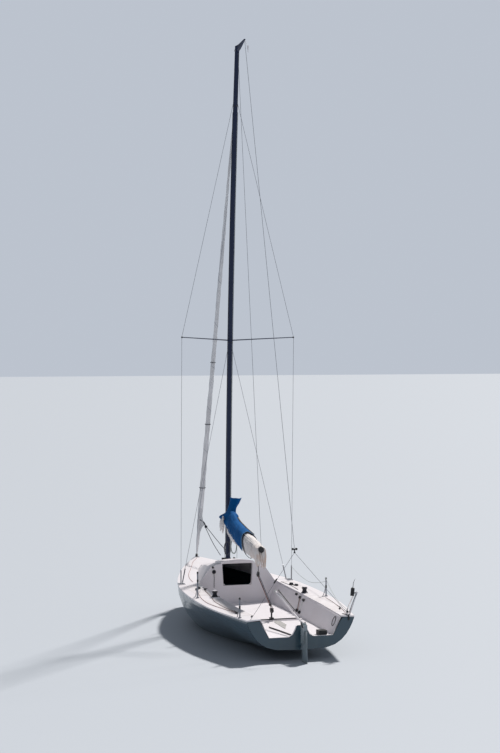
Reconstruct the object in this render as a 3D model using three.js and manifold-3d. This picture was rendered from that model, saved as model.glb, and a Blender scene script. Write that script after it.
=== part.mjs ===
// A 7.5 m sport keelboat afloat: open-transom hull, deck and trunk cabin, fin keel with a bulb,
// transom-hung rudder with a tiller, raked and bent mast with one pair of spreaders, boom with the
// mainsail flaked on it under a part cover, and a headsail rolled round the forestay.
// Millimetres. +X to the bow, +Y to port, +Z up. The origin lies on the waterline, on the
// centreline, halfway between the transom and the stem.
import * as THREE from "three";
import { mergeVertices } from "three/addons/utils/BufferGeometryUtils.js";
import Module from "manifold-3d";

const wasm = await Module();
wasm.setup();

// Driving dimensions
const LENGTH = 7500; // transom to stem
const AFT = -LENGTH / 2;
const BOW = LENGTH / 2;
const GAP = 0.3; // between pieces that touch
const SKIN = 25; // laminate thickness of hull, deck and liner
const BIG = 20000; // larger than the boat, for cutting tools

// Hull
const SHEER_AFT = 759; // height of the deck edge at the transom
const SHEER_RISE = 302; // how much higher it is at the stem
const SHEER_SAG = 208; // how much it hollows between them
const DECK_CROWN = 45; // height of the deck's middle over its edge at the widest section
const STEM_RAKE = 150; // how far the stem's foot lies aft of its head
const RAKE_FROM = 2800; // the stem's rake fades out aft of this station
const HULL_STATIONS = 22;
const KEEL_ARC_POINTS = 9; // points from the deck edge to the keel line on each side

// Columns: station, half beam at the deck edge, keel line height, and the two powers of the
// section's curve, which is fuller as they grow
const HULL = [
  [-3750, 1008, 190, 4.2, 1.15],
  [-2400, 1262, 30, 2.2, 1.15],
  [-1000, 1330, -185, 1.8, 1.35],
  [500, 1212, -290, 1.95, 1.8],
  [2000, 790, -250, 1.9, 1.6],
  [3050, 360, -150, 1.6, 1.35],
  [3750, 8, 0, 1.4, 1.2],
];

// Cockpit: station, half width at the sole, half width at the deck, sole height
const COCKPIT = [
  [-3750, 600, 752, 425],
  [-2400, 632, 815, 440],
  [-1000, 660, 830, 458],
  [400, 672, 812, 478],
];
const BULKHEAD_AT = 400;
const BULKHEAD_THICK = 30;
const CABIN_AFT = BULKHEAD_AT + BULKHEAD_THICK + GAP;

// Coachroof: station, half width at the deck, half width at the shoulder, shoulder and crown heights
const ROOF = [
  [430, 795, 565, 1220, 1325],
  [1000, 700, 500, 1190, 1275],
  [1600, 555, 390, 1120, 1185],
  [2150, 375, 260, 1035, 1085],
  [2620, 215, 150, 1008, 1032],
];

// Companionway in the bulkhead and the hatch over it
const DOOR_HALF = 310;
const DOOR_FOOT_HALF = 285;
const DOOR_SILL = 835;
const HATCH_FRONT = 835;
const HATCH_HALF = 345;
const HATCH_THICK = 30;
const HATCH_HOLE = 290;
const HATCH_LIP = 15; // thickness of the lip under the hatch's after edge
const HATCH_LIP_LOW = 1275;

// Mast and rig
const MAST_HEEL_Z = 1280;
const MAST_TOP_Z = 11710;
const MAST_LINE = { foot: 1141, slope: 0.01966, bend: 5.04e-6 }; // station over height
const mastX = (z) => MAST_LINE.foot - MAST_LINE.slope * z - MAST_LINE.bend * z * z;
const RAKE = (mastX(MAST_HEEL_Z) - mastX(MAST_TOP_Z)) / (MAST_TOP_Z - MAST_HEEL_Z);
const HOUNDS_Z = 10570;
const SPREADER_Z = 5800;
const SPREADER_TIP = [250, 1168, 5850];
const UPPER_FOOT = [450, 1165, 905];
const LOWER_FOOT = [600, 1098, 905];
const LOWER_HEAD_Z = 5650;
const STAY = 3.5; // radius of a stay
const SCREW = 12; // radius of a turnbuckle
const SCREW_LONG = 280;
const BOW_EYE = [3690, 0, 1058];
const CRANE_END = [-320, 0, 11732];
const BRIDLE = [-3385, 0, 1950];
const BRIDLE_FOOT = [-3700, 930, 790];

// Boom
const PIVOT = [990, 0, 1930];
const BOOM_END = [-2500, 360, 1860];
const BOOM_HALF_HIGH = 55;
const BOOM_HALF_WIDE = 38;
const BOOM_FROM = 62; // where the spar starts aft of the pivot
const CAP_RADIUS = 52;
const CAP_LONG = 41;

// Rudder
const PINTLE_X = -3800;
const BLADE_FRONT = -3822;

const V = (x, y, z) => new THREE.Vector3(x, y, z);
const at = (p) => V(p[0], p[1], p[2]);
const mirror = (p, side) => [p[0], p[1] * side, p[2]];
const lerp = THREE.MathUtils.lerp;

// Reads a table's column at a station between its rows, along a smooth curve through them.
function read(table, station, column) {
  const last = table.length - 1;
  const x = THREE.MathUtils.clamp(station, table[0][0], table[last][0]);
  let i = 0;
  while (i < last - 1 && x > table[i + 1][0]) i++;
  const slope = (k) => {
    const a = Math.max(k - 1, 0);
    const b = Math.min(k + 1, last);
    return (table[b][column] - table[a][column]) / (table[b][0] - table[a][0]);
  };
  const width = table[i + 1][0] - table[i][0];
  const t = (x - table[i][0]) / width;
  const [p, q] = [table[i][column], table[i + 1][column]];
  const [m, n] = [slope(i) * width, slope(i + 1) * width];
  const t2 = t * t;
  const t3 = t2 * t;
  return (2 * t3 - 3 * t2 + 1) * p + (t3 - 2 * t2 + t) * m + (3 * t2 - 2 * t3) * q + (t3 - t2) * n;
}

// The faces between each ring of points and the next.
function sideFaces(rings) {
  const count = rings[0].length;
  const index = [];
  for (let r = 0; r + 1 < rings.length; r++) {
    for (let k = 0; k < count; k++) {
      const a = r * count + k;
      const b = r * count + ((k + 1) % count);
      index.push(a, b, a + count, b, b + count, a + count);
    }
  }
  return index;
}

function surface(rings, index) {
  const positions = rings.flat().flatMap((p) => [p.x, p.y, p.z]);
  const geometry = new THREE.BufferGeometry();
  geometry.setAttribute("position", new THREE.Float32BufferAttribute(positions, 3));
  geometry.setIndex(index);
  return geometry;
}

// A closed surface through rings of points, each ring a loop with the same number of points.
// The end rings are filled, seen along the axis that the loop's two other coordinates leave.
function skin(rings, endAxes = ["y", "z"]) {
  const count = rings[0].length;
  const index = sideFaces(rings);
  const flat = (ring) => ring.map((p) => new THREE.Vector2(p[endAxes[0]], p[endAxes[1]]));
  const turn = THREE.ShapeUtils.isClockWise(flat(rings[0])) ? 1 : -1;
  const ends = [
    [0, turn],
    [rings.length - 1, -turn],
  ];
  for (const [r, way] of ends) {
    const loop = flat(rings[r]);
    const clockwise = THREE.ShapeUtils.isClockWise(loop);
    const order = clockwise ? [...loop].reverse() : loop;
    for (const [a, b, c] of THREE.ShapeUtils.triangulateShape(order, [])) {
      const id = (k) => r * count + (clockwise ? count - 1 - k : k);
      if (way > 0) index.push(id(a), id(b), id(c));
      else index.push(id(a), id(c), id(b));
    }
  }
  return surface(rings, index);
}

// Turns a closed geometry into a solid for joining and cutting, its faces pointing out.
function solid(geometry) {
  const bare = geometry.clone();
  bare.deleteAttribute("normal");
  bare.deleteAttribute("uv");
  const merged = mergeVertices(bare, 1e-3);
  const build = (triVerts) =>
    new wasm.Manifold(
      new wasm.Mesh({ numProp: 3, vertProperties: merged.attributes.position.array, triVerts }),
    );
  const faces = new Uint32Array(merged.index.array);
  const made = build(faces);
  if (made.volume() > 0) return made;
  for (let i = 0; i < faces.length; i += 3) [faces[i], faces[i + 1]] = [faces[i + 1], faces[i]];
  return build(faces);
}

const join = (first, ...others) => others.reduce((all, next) => all.add(next), first);
const cut = (body, ...tools) => tools.reduce((rest, tool) => rest.subtract(tool), body);

// A box given by its lowest and highest corners.
function box(low, high) {
  const size = [0, 1, 2].map((i) => high[i] - low[i]);
  const middle = [0, 1, 2].map((i) => (high[i] + low[i]) / 2);
  return solid(new THREE.BoxGeometry(...size).translate(...middle));
}

// A round rod from one point to another.
function rod(from, to, radius, sides = 12) {
  const [a, b] = [at(from), at(to)];
  const geometry = new THREE.CylinderGeometry(radius, radius, a.distanceTo(b), sides);
  const turn = new THREE.Quaternion().setFromUnitVectors(V(0, 1, 0), b.clone().sub(a).normalize());
  geometry.applyQuaternion(turn);
  geometry.translate(...a.add(b).multiplyScalar(0.5).toArray());
  return solid(geometry);
}

// A bar through points, each row holding x, y, z and then the half width and half height there.
// Rings stand square to the bar. The height is measured towards the side that "up" points to.
function bar(rows, sides = 12, up = V(0, 0, 1)) {
  const points = rows.map((row) => V(row[0], row[1], row[2]));
  const rings = rows.map((row, i) => {
    const ahead = points[Math.min(i + 1, points.length - 1)];
    const along = ahead.clone().sub(points[Math.max(i - 1, 0)]).normalize();
    const across = along.clone().cross(up).normalize();
    const high = across.clone().cross(along).normalize();
    const wide = row[3];
    const tall = row[4] ?? row[3];
    return Array.from({ length: sides }, (_, k) => {
      const a = ((k + 0.5) / sides) * 2 * Math.PI;
      return points[i]
        .clone()
        .addScaledVector(across, Math.cos(a) * wide)
        .addScaledVector(high, Math.sin(a) * tall);
    });
  });
  return solid(strip(rings));
}

// A closed surface through convex rings, its ends filled from their first point.
function strip(rings) {
  const count = rings[0].length;
  const index = sideFaces(rings);
  const end = (rings.length - 1) * count;
  for (let k = 1; k + 1 < count; k++) {
    index.push(0, k + 1, k);
    index.push(end, end + k, end + k + 1);
  }
  return surface(rings, index);
}

// A flat outline of [a, b] pairs pushed along one axis from one place to another. The outline's
// pairs are (y, z) for axis x, (x, z) for axis y and (x, y) for axis z.
function slab(outline, axis, from, to) {
  const place = {
    x: (a, b, c) => V(c, a, b),
    y: (a, b, c) => V(a, c, b),
    z: (a, b, c) => V(a, b, c),
  }[axis];
  const ends = { x: ["y", "z"], y: ["x", "z"], z: ["x", "y"] }[axis];
  const rings = [from, to].map((c) => outline.map(([a, b]) => place(a, b, c)));
  return solid(skin(rings, ends));
}

const group = new THREE.Group();

// Adds a solid to the boat as one named piece with its colour, roughness and metalness.
function add(name, body, colour, roughness = 0.5, metalness = 0) {
  const mesh = body.getMesh();
  const geometry = new THREE.BufferGeometry();
  const positions = new Float32Array(mesh.numVert * 3);
  for (let i = 0; i < mesh.numVert; i++) {
    const start = i * mesh.numProp;
    positions.set(mesh.vertProperties.subarray(start, start + 3), i * 3);
  }
  geometry.setAttribute("position", new THREE.BufferAttribute(positions, 3));
  geometry.setIndex(new THREE.BufferAttribute(mesh.triVerts, 1));
  geometry.computeVertexNormals();
  const material = new THREE.MeshStandardMaterial({ color: colour, roughness, metalness });
  const made = new THREE.Mesh(geometry, material);
  made.name = name;
  group.add(made);
}

const COLOURS = {
  topsides: 0x3f5664,
  deck: 0xf0edf2,
  antifouling: 0x22303a,
  spar: 0x1d2b45,
  steel: 0xb8bcc0,
  black: 0x1c1e22,
  cover: 0x114878,
  sail: 0xd8d6d2,
  jib: 0xb4bfcc,
  blade: 0x9aa6ae,
  lead: 0x2c3940,
};

const SIDES = [
  ["port", 1],
  ["starboard", -1],
];

// Height of the deck edge at a station.
function sheer(x) {
  const t = (x - AFT) / LENGTH;
  return SHEER_AFT + SHEER_RISE * t - SHEER_SAG * t * (1 - t);
}

const halfBeam = (x) => read(HULL, x, 1);
const crown = (x) => (DECK_CROWN * halfBeam(x)) / 1330;
const deckTop = (x, y) => sheer(x) + crown(x) * (1 - (y / halfBeam(x)) ** 2);

// How far the raked stem moves a point of the given station and height aft.
function rakeBack(x, z) {
  const weight = THREE.MathUtils.smoothstep(x, RAKE_FROM, BOW);
  return (weight * STEM_RAKE * (sheer(BOW) - z)) / sheer(BOW);
}

// Half section of the hull from the deck edge to the keel line, inset by a thickness.
function halfSection(x, inset, top) {
  const beam = Math.max(halfBeam(x) - inset, 2);
  const keel = read(HULL, x, 2) + inset;
  const [n, m] = [read(HULL, x, 3), read(HULL, x, 4)];
  return Array.from({ length: KEEL_ARC_POINTS }, (_, k) => {
    const a = (k / (KEEL_ARC_POINTS - 1)) * (Math.PI / 2);
    const y = beam * Math.cos(a) ** (2 / n);
    const z = top - (top - keel) * Math.sin(a) ** (2 / m);
    return [k === KEEL_ARC_POINTS - 1 ? 0 : y, z];
  });
}

// The hull's body between two stations, inset by a thickness and raised by a lid at its top.
function hullBody(from, to, inset, lid) {
  const rings = Array.from({ length: HULL_STATIONS }, (_, i) => {
    const x = lerp(from, to, i / (HULL_STATIONS - 1));
    const top = sheer(x) - SKIN - GAP;
    const half = halfSection(x, inset, top);
    const port = half.map(([y, z]) => V(x - rakeBack(x, z), y, z));
    const starboard = half.slice(0, -1).map(([y, z]) => V(x - rakeBack(x, z), -y, z));
    const ring = [...port, ...starboard.reverse()];
    if (!lid) return ring;
    const [a, b] = [ring[ring.length - 1], ring[0]];
    return [...ring, V(a.x, a.y, a.z + lid), V(b.x, b.y, b.z + lid)];
  });
  return solid(skin(rings));
}

const transomFront = AFT + SKIN;
const hull = cut(hullBody(transomFront + GAP, BOW, 0, 0), hullBody(AFT - 50, BOW - 330, SKIN, 200));
add("hull_shell", hull, COLOURS.topsides, 0.25);

// Transom: a flat panel with the open cut-out and a raised middle that carries the rudder
const SILL = 425;
const HUMP = [
  [225, SILL],
  [150, 470],
  [105, 560],
  [88, 615],
  [60, 632],
];
function transomPanel() {
  const half = halfSection(AFT, 0, sheer(AFT) - SKIN - GAP);
  const [, foot, top] = COCKPIT[0];
  const side = half.slice(0, -1).map(([y, z]) => [y, z]);
  const notch = [[top + SKIN, sheer(AFT) - SKIN - GAP], [foot, SILL], ...HUMP];
  const port = [...notch.reverse(), ...side];
  const starboard = port.map(([y, z]) => [-y, z]).reverse();
  const keel = half[half.length - 1];
  return slab([...port, keel, ...starboard], "x", AFT, transomFront);
}
add("transom", transomPanel(), COLOURS.topsides, 0.25);

// Deck: a crowned plate over the hull's edge, open over the cockpit and under the coachroof. A
// cutting tool for what meets it from below is the same plate, lowered and thickened upwards.
function deckPlate(lower = 0, raise = 0) {
  const across = [-1, -0.85, -0.7, -0.5, -0.25, 0, 0.25, 0.5, 0.7, 0.85, 1];
  const rings = Array.from({ length: HULL_STATIONS }, (_, i) => {
    const x = lerp(AFT, BOW, i / (HULL_STATIONS - 1));
    const beam = halfBeam(x);
    const skinTop = across.map((f) => V(x, f * beam, deckTop(x, f * beam)));
    const under = skinTop.map((p) => V(p.x, p.y, p.z - SKIN - lower)).reverse();
    return [...skinTop.map((p) => V(p.x, p.y, p.z + raise)), ...under];
  });
  return solid(skin(rings));
}
const wellEdge = COCKPIT.map(([x, , y]) => [x === AFT ? AFT - 100 : x, y]);
const wellEnd = BULKHEAD_AT + BULKHEAD_THICK + 2 * GAP;
wellEdge.push([wellEnd, COCKPIT[COCKPIT.length - 1][2]]);
const roofEdge = ROOF.map(([x, y]) => [Math.max(x, wellEnd - 1) - (x > 2500 ? 40 : 0), y - SKIN]);
const underDeck = deckPlate(GAP, 300);
const onDeck = deckPlate(300, GAP); // cuts the foot of what stands on the deck to its crown
const closed = (edge) => [...edge, ...edge.map(([x, y]) => [x, -y]).reverse()];
const well = slab(closed(wellEdge), "z", 0, 2000);
const cabinHole = slab(closed(roofEdge), "z", 0, 2000);
add("deck", cut(deckPlate(), well, cabinHole), COLOURS.deck, 0.45);

// Cockpit: a sole and two leaning sides
const soleTop = (x) => read(COCKPIT, x, 3);
function soleBody(raise, deeper) {
  const rings = COCKPIT.map(([x, foot, , z]) => {
    const place = x === AFT ? transomFront + GAP : x - GAP;
    const y = foot - GAP;
    const low = z - SKIN - deeper;
    return [V(place, y, z + raise), V(place, -y, z + raise), V(place, -y, low), V(place, y, low)];
  });
  return solid(skin(rings));
}
const onSole = soleBody(GAP, 300); // cuts the foot of what stands on the sole to its slope
add("cockpit_sole", soleBody(0, 0), COLOURS.deck, 0.6);
for (const [side, s] of SIDES) {
  const rings = COCKPIT.map(([x, foot, rim, z]) => {
    const place = x === AFT ? transomFront + GAP : x - GAP;
    const top = deckTop(x, rim) + 20;
    const low = z - SKIN;
    return [
      V(place, s * foot, low),
      V(place, s * rim, top),
      V(place, s * (rim + SKIN), top),
      V(place, s * (foot + SKIN), low),
    ];
  });
  add("cockpit_side_" + side, cut(solid(skin(rings)), underDeck), COLOURS.deck, 0.5);
}

// Coachroof: a hollow shell, open below and aft, with the companionway hatch cut in it
const roofSkin = (x, y) => {
  const shoulder = read(ROOF, x, 2);
  const [low, high] = [read(ROOF, x, 3), read(ROOF, x, 4)];
  return low + (high - low) * (1 - (y / shoulder) ** 2);
};
function roofBody(inset, from, to, footDrop) {
  const across = [-1, -0.75, -0.5, -0.25, 0, 0.25, 0.5, 0.75, 1];
  const steps = 9;
  const rings = Array.from({ length: steps }, (_, i) => {
    const x = lerp(from, to, i / (steps - 1));
    const foot = read(ROOF, x, 1) - inset;
    const shoulder = read(ROOF, x, 2) - inset;
    const top = across.map((f) => V(x, f * shoulder, roofSkin(x, f * shoulder) - inset));
    const ground = sheer(x) - footDrop;
    return [V(x, -foot, ground), ...top, V(x, foot, ground)];
  });
  return solid(skin(rings));
}
const roofFront = ROOF[ROOF.length - 1][0];
const hatchHole = box([CABIN_AFT - 10, -HATCH_HOLE, 1200], [HATCH_FRONT - 40, HATCH_HOLE, 1500]);
const roof = cut(
  roofBody(0, CABIN_AFT, roofFront, 0),
  roofBody(SKIN, CABIN_AFT - 50, roofFront - 160, 100),
  hatchHole,
  onDeck,
);
add("coachroof", roof, COLOURS.deck, 0.45);

// Bulkhead at the cabin's after end, with the companionway cut through its top
function bulkhead() {
  const [, foot, rim] = COCKPIT[COCKPIT.length - 1];
  const deckAt = deckTop(BULKHEAD_AT, rim);
  const top = [1, 0.85, 0.7].map((f) => {
    const y = f * ROOF[0][2];
    return [y, roofSkin(ROOF[0][0], y) - 4];
  });
  const door = [
    [DOOR_HALF, roofSkin(ROOF[0][0], DOOR_HALF) - 4],
    [DOOR_FOOT_HALF + 3, DOOR_SILL + 40],
    [DOOR_FOOT_HALF - 35, DOOR_SILL],
  ];
  const port = [
    [foot - 1, soleTop(BULKHEAD_AT) - SKIN],
    [rim - 1, deckAt - SKIN],
    [rim - 1, deckAt + 1],
    [ROOF[0][1], deckAt + 1],
    ...top,
    ...door,
  ];
  const outline = [...port, ...port.map(([y, z]) => [-y, z]).reverse()];
  return slab(outline, "x", BULKHEAD_AT, BULKHEAD_AT + BULKHEAD_THICK);
}
add("cabin_bulkhead", bulkhead(), COLOURS.deck, 0.5);

// Companionway hatch: a crowned lid hinged at its forward edge, with a lip down its after edge
const hatchAft = BULKHEAD_AT - 20;
const HATCH_RISE = 1; // how far the lid lies over the roof
const hatchAcross = [-1, -0.75, -0.5, -0.25, 0, 0.25, 0.5, 0.75, 1];
const hatchUnder = (x, y) => roofSkin(x, y) + HATCH_RISE;
const hatchStations = [hatchAft, CABIN_AFT, (CABIN_AFT + HATCH_FRONT) / 2, HATCH_FRONT];
const hatchRings = hatchStations.map((x) => {
  const under = hatchAcross.map((f) => V(x, f * HATCH_HALF, hatchUnder(x, f * HATCH_HALF)));
  const top = under.map((p) => V(p.x, p.y, p.z + HATCH_THICK)).reverse();
  return [...under, ...top];
});
const lipTop = hatchAcross.map((f) => {
  const y = f * HATCH_HALF;
  return [y, hatchUnder(hatchAft, y) + HATCH_THICK / 2];
});
const lipOutline = [...lipTop, [HATCH_HALF, HATCH_LIP_LOW], [-HATCH_HALF, HATCH_LIP_LOW]];
const lip = slab(lipOutline, "x", hatchAft, hatchAft + HATCH_LIP);
add("companionway_hatch", join(solid(skin(hatchRings)), lip), COLOURS.deck, 0.4);

// Keel: station along the span, leading and trailing edges, half thickness
const FIN = [
  [-262, 870, 250, 34],
  [-900, 830, 300, 30],
  [-1400, 790, 350, 26],
];
const finRings = FIN.map(([z, lead, trail, half]) => {
  const chord = lead - trail;
  const foil = [
    [0, 0],
    [0.12, 0.8],
    [0.35, 1],
    [0.7, 0.6],
    [1, 0.06],
  ];
  const port = foil.map(([f, w]) => V(lead - f * chord, w * half, z));
  const starboard = foil.slice(1).map(([f, w]) => V(lead - f * chord, -w * half, z));
  return [...port, ...starboard.reverse()];
});
const fin = solid(skin(finRings, ["x", "y"]));
add("keel_fin", cut(fin, hullBody(transomFront, BOW, -0.5, 0)), COLOURS.lead, 0.5, 0.2);
const BULB = [
  [-140, 0, 6],
  [60, 0, 70],
  [400, 0, 118],
  [800, 0, 125],
  [1080, 0, 80],
  [1180, 0, 12],
];
const bulb = bar(BULB.map(([x, y, r]) => [x, y, -1490, r, r * 0.85]), 14);
const finSeat = box([340, -60, -1400 - GAP], [800, 60, -1300]);
add("keel_bulb", cut(bulb, finSeat), COLOURS.lead, 0.5, 0.2);

// Mast, its step and its crane. Columns: height, half width, half depth
const MAST = [
  [MAST_HEEL_Z, 48, 62],
  [3000, 48, 62],
  [4800, 48, 62],
  [6600, 48, 62],
  [8400, 48, 61],
  [HOUNDS_Z, 47, 60],
  [MAST_TOP_Z, 44, 56],
];
function mastBody(grow) {
  const rows = MAST.map(([z, wide, deep], i) => {
    const end = i === MAST.length - 1 ? grow : 0;
    return [mastX(z), 0, z + end, wide + grow, deep + grow];
  });
  return bar(rows, 16, V(1, 0, 0));
}
const mastTool = mastBody(GAP); // cuts what is fastened to the mast to its surface
add("mast", mastBody(0), COLOURS.spar, 0.35, 0.3);
const stepMiddle = mastX(MAST_HEEL_Z);
const stepBlock = box([stepMiddle - 82, -75, 1200], [stepMiddle + 82, 75, MAST_HEEL_Z - 3]);
const onRoof = roofBody(-GAP, CABIN_AFT, roofFront, 100);
add("mast_step", cut(stepBlock, onRoof, mastTool), COLOURS.steel, 0.4, 0.8);
function craneBody(grow) {
  const rows = [
    [mastX(MAST_TOP_Z) + 60, 0, MAST_TOP_Z + 8, 22, 12],
    [mastX(MAST_TOP_Z) - 40, 0, MAST_TOP_Z - 55, 22, 75],
    [20, 0, MAST_TOP_Z - 45, 22, 68],
    [CRANE_END[0] + 20, 0, CRANE_END[2] + 3, 14, 24],
    [CRANE_END[0] - 18 - grow, 0, CRANE_END[2], 12, 18],
  ];
  return bar(rows.map(([x, y, z, wide, high]) => [x, y, z, wide + grow, high + grow]), 8);
}
add("masthead_crane", cut(craneBody(0), mastTool), COLOURS.spar, 0.4, 0.3);

// Spreaders, shrouds and their deck plates
for (const [side, s] of SIDES) {
  const tip = mirror(SPREADER_TIP, s);
  const rootX = mastX(SPREADER_Z);
  const spreaderRows = [
    [rootX, s * (48 + GAP), SPREADER_Z, 45, 13],
    [lerp(rootX, tip[0], 0.5), lerp(0, tip[1], 0.5), lerp(SPREADER_Z, tip[2], 0.5), 40, 11],
    [tip[0], tip[1] - s * (STAY + GAP), tip[2], 24, 9],
  ];
  add("spreader_" + side, cut(bar(spreaderRows, 8), mastTool), COLOURS.spar, 0.4, 0.3);
  const foot = mirror(UPPER_FOOT, s);
  const screwTop = 1 - SCREW_LONG / (tip[2] - foot[2]);
  const top = [
    [mastX(HOUNDS_Z), s * 48, HOUNDS_Z, STAY],
    [tip[0], tip[1] + s * STAY, tip[2] + GAP, STAY],
  ];
  const tipTool = box([-BIG, -BIG, 0], [BIG, BIG, tip[2] + GAP]);
  const topBody = cut(bar(top, 6, V(1, 0, 0)), mastTool, tipTool);
  add("upper_shroud_top_" + side, topBody, COLOURS.steel, 0.3, 0.9);
  const screwAt = [0, 1].map((i) => lerp(tip[i], foot[i], screwTop));
  const upper = [
    [tip[0], tip[1] + s * STAY, tip[2], STAY],
    [...screwAt, foot[2] + SCREW_LONG, STAY],
    [...screwAt, foot[2] + SCREW_LONG - 6, SCREW],
    [foot[0], foot[1], foot[2] - 12, SCREW],
  ];
  const footTool = box([0, -BIG, 0], [1000, BIG, foot[2]]);
  const overTip = box([-BIG, -BIG, tip[2]], [BIG, BIG, BIG]);
  const upperBody = cut(bar(upper, 6, V(1, 0, 0)), overTip, footTool);
  add("upper_shroud_" + side, upperBody, COLOURS.steel, 0.3, 0.9);
  const low = mirror(LOWER_FOOT, s);
  const lowX = mastX(LOWER_HEAD_Z);
  const part = 1 - SCREW_LONG / (LOWER_HEAD_Z - low[2]);
  const lowScrew = [lerp(lowX, low[0], part), lerp(s * 40, low[1], part)];
  const lower = [
    [lowX, s * 40, LOWER_HEAD_Z, STAY],
    [...lowScrew, low[2] + SCREW_LONG, STAY],
    [...lowScrew, low[2] + SCREW_LONG - 6, SCREW],
    [low[0], low[1], low[2] - 12, SCREW],
  ];
  const lowerBody = cut(bar(lower, 6, V(1, 0, 0)), mastTool, footTool);
  add("lower_shroud_" + side, lowerBody, COLOURS.steel, 0.3, 0.9);
  const plateLow = [420, s > 0 ? 1070 : -1195, 870];
  const plateHigh = [630, s > 0 ? 1195 : -1070, 893];
  const lugs = [foot, low].map(([x, y, z]) => box([x - 14, y - 4, 885], [x + 14, y + 4, z - GAP]));
  const chain = join(box(plateLow, plateHigh), ...lugs);
  add("chainplate_" + side, cut(chain, onDeck), COLOURS.steel, 0.35, 0.9);
}

// Forestay with the headsail rolled round it, over the furling drum on the stem fitting
const HOUND_FRONT = [mastX(HOUNDS_Z) + 48, 0, HOUNDS_Z];
const along = (f) => [0, 1, 2].map((i) => lerp(BOW_EYE[i], HOUND_FRONT[i], f));
const stayAt = (z) => along((z - BOW_EYE[2]) / (HOUND_FRONT[2] - BOW_EYE[2]));
const STEM_TOP = 1066; // top of the stem fitting's plate
const stemPlate = box([3540, -30, 1040], [3715, 30, STEM_TOP]);
add("bow_fitting", cut(stemPlate, deckPlate(600, 2 * GAP)), COLOURS.steel, 0.35, 0.9);
const DRUM = { low: 1078, top: 1114, radius: 32 };
const drum = join(
  rod(stayAt(DRUM.low), stayAt(DRUM.top), DRUM.radius, 18),
  rod(stayAt(1050), stayAt(DRUM.low + 4), 11, 10),
);
const stemTool = box([3300, -BIG, 0], [3800, BIG, STEM_TOP + GAP]);
add("furler_drum", cut(drum, stemTool), COLOURS.black, 0.5);
const forestay = rod(stayAt(DRUM.top + 2 * GAP), stayAt(HOUNDS_Z), 5, 8);
add("forestay", cut(forestay, mastTool), COLOURS.steel, 0.3, 0.9);
// Columns: height, radius of the roll
const ROLL = [
  [1140, 18],
  [1360, 33],
  [1670, 42],
  [1880, 56],
  [2300, 62],
  [3550, 55],
  [7500, 42],
  [10100, 20],
];
const roll = bar(ROLL.map(([z, r]) => [...stayAt(z), r]), 12, V(1, 0, 0));
add("furled_jib", cut(roll, rod(stayAt(1080), stayAt(HOUNDS_Z), 5 + 2 * GAP, 8)), COLOURS.jib, 0.8);

// Backstay, its bridle and the block between them
const blockBody = (at, half, radius, grow) => {
  const ends = [-half - grow, half + grow].map((out) => [at[0], at[1] + out, at[2]]);
  return rod(ends[0], ends[1], radius + grow, 16);
};
// Two sheaves side by side on a plate, and a third under them that the bridle's legs leave from:
// how far out and up each stands from the block's centre, and its radius
const SHEAVES = [
  [34, 6, 21],
  [-34, 6, 21],
  [0, -56, 15],
];
const SHEAVE_HALF = 13;
const PLATE_HALF = 8;
const bridleBody = (grow) => {
  const [x, y, z] = BRIDLE;
  const half = SHEAVE_HALF + grow;
  const wheel = ([out, up, radius]) =>
    rod([x - half, y + out, z + up], [x + half, y + out, z + up], radius + grow, 14);
  const plate = PLATE_HALF + grow;
  const [[out], , [, down]] = SHEAVES;
  return join(
    ...SHEAVES.map(wheel),
    box([x - plate, y - out, z - plate], [x + plate, y + out, z + plate]),
    box([x - plate, y - plate, z + down], [x + plate, y + plate, z]),
  );
};
add("bridle_block", bridleBody(0), COLOURS.black, 0.5);
const bridleTool = bridleBody(GAP);
add("backstay", cut(rod(CRANE_END, BRIDLE, STAY, 8), craneBody(GAP), bridleTool), COLOURS.steel, 0.3, 0.9);
for (const [side, s] of SIDES) {
  const foot = mirror(BRIDLE_FOOT, s);
  const head = [BRIDLE[0], BRIDLE[1], BRIDLE[2] + SHEAVES[2][1]];
  const leg = cut(rod(head, [foot[0], foot[1], foot[2] - 30], STAY, 8), bridleTool, onDeck);
  add("bridle_leg_" + side, leg, COLOURS.steel, 0.3, 0.9);
}

// Boom: a fork round the gooseneck's pin, an oval spar and an end cap
const boomLength = at(PIVOT).distanceTo(at(BOOM_END));
const boomAt = (s) => [0, 1, 2].map((i) => lerp(PIVOT[i], BOOM_END[i], s / boomLength));
const boomWay = at(BOOM_END).sub(at(PIVOT)).normalize();
const boomSide = boomWay.clone().cross(V(0, 0, 1)).normalize(); // towards port
const boomUp = boomSide.clone().cross(boomWay).normalize();
// A point at a distance aft of the pivot, out to port and up from the boom's middle line.
const onBoom = (s, port, high) =>
  at(boomAt(s)).addScaledVector(boomSide, port).addScaledVector(boomUp, high);
const boomTube = (grow) => {
  const half = [BOOM_HALF_WIDE + grow, BOOM_HALF_HIGH + grow];
  const ends = [BOOM_FROM - grow, boomLength - CAP_LONG - 1 + grow];
  return bar(ends.map((s) => [...boomAt(s), ...half]), 12);
};
const boomTool = boomTube(GAP); // cuts what lies on the boom to its surface
const EAR = { high: 28, half: 13, thick: 6, from: -14, to: 70 };
const ears = [EAR.high, -EAR.high].map((z) => {
  const [low, high] = [z - EAR.thick / 2, z + EAR.thick / 2];
  const ring = (s) => [
    onBoom(s, -EAR.half, low),
    onBoom(s, EAR.half, low),
    onBoom(s, EAR.half, high),
    onBoom(s, -EAR.half, high),
  ];
  return solid(strip([ring(EAR.from), ring(EAR.to)]));
});
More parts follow.
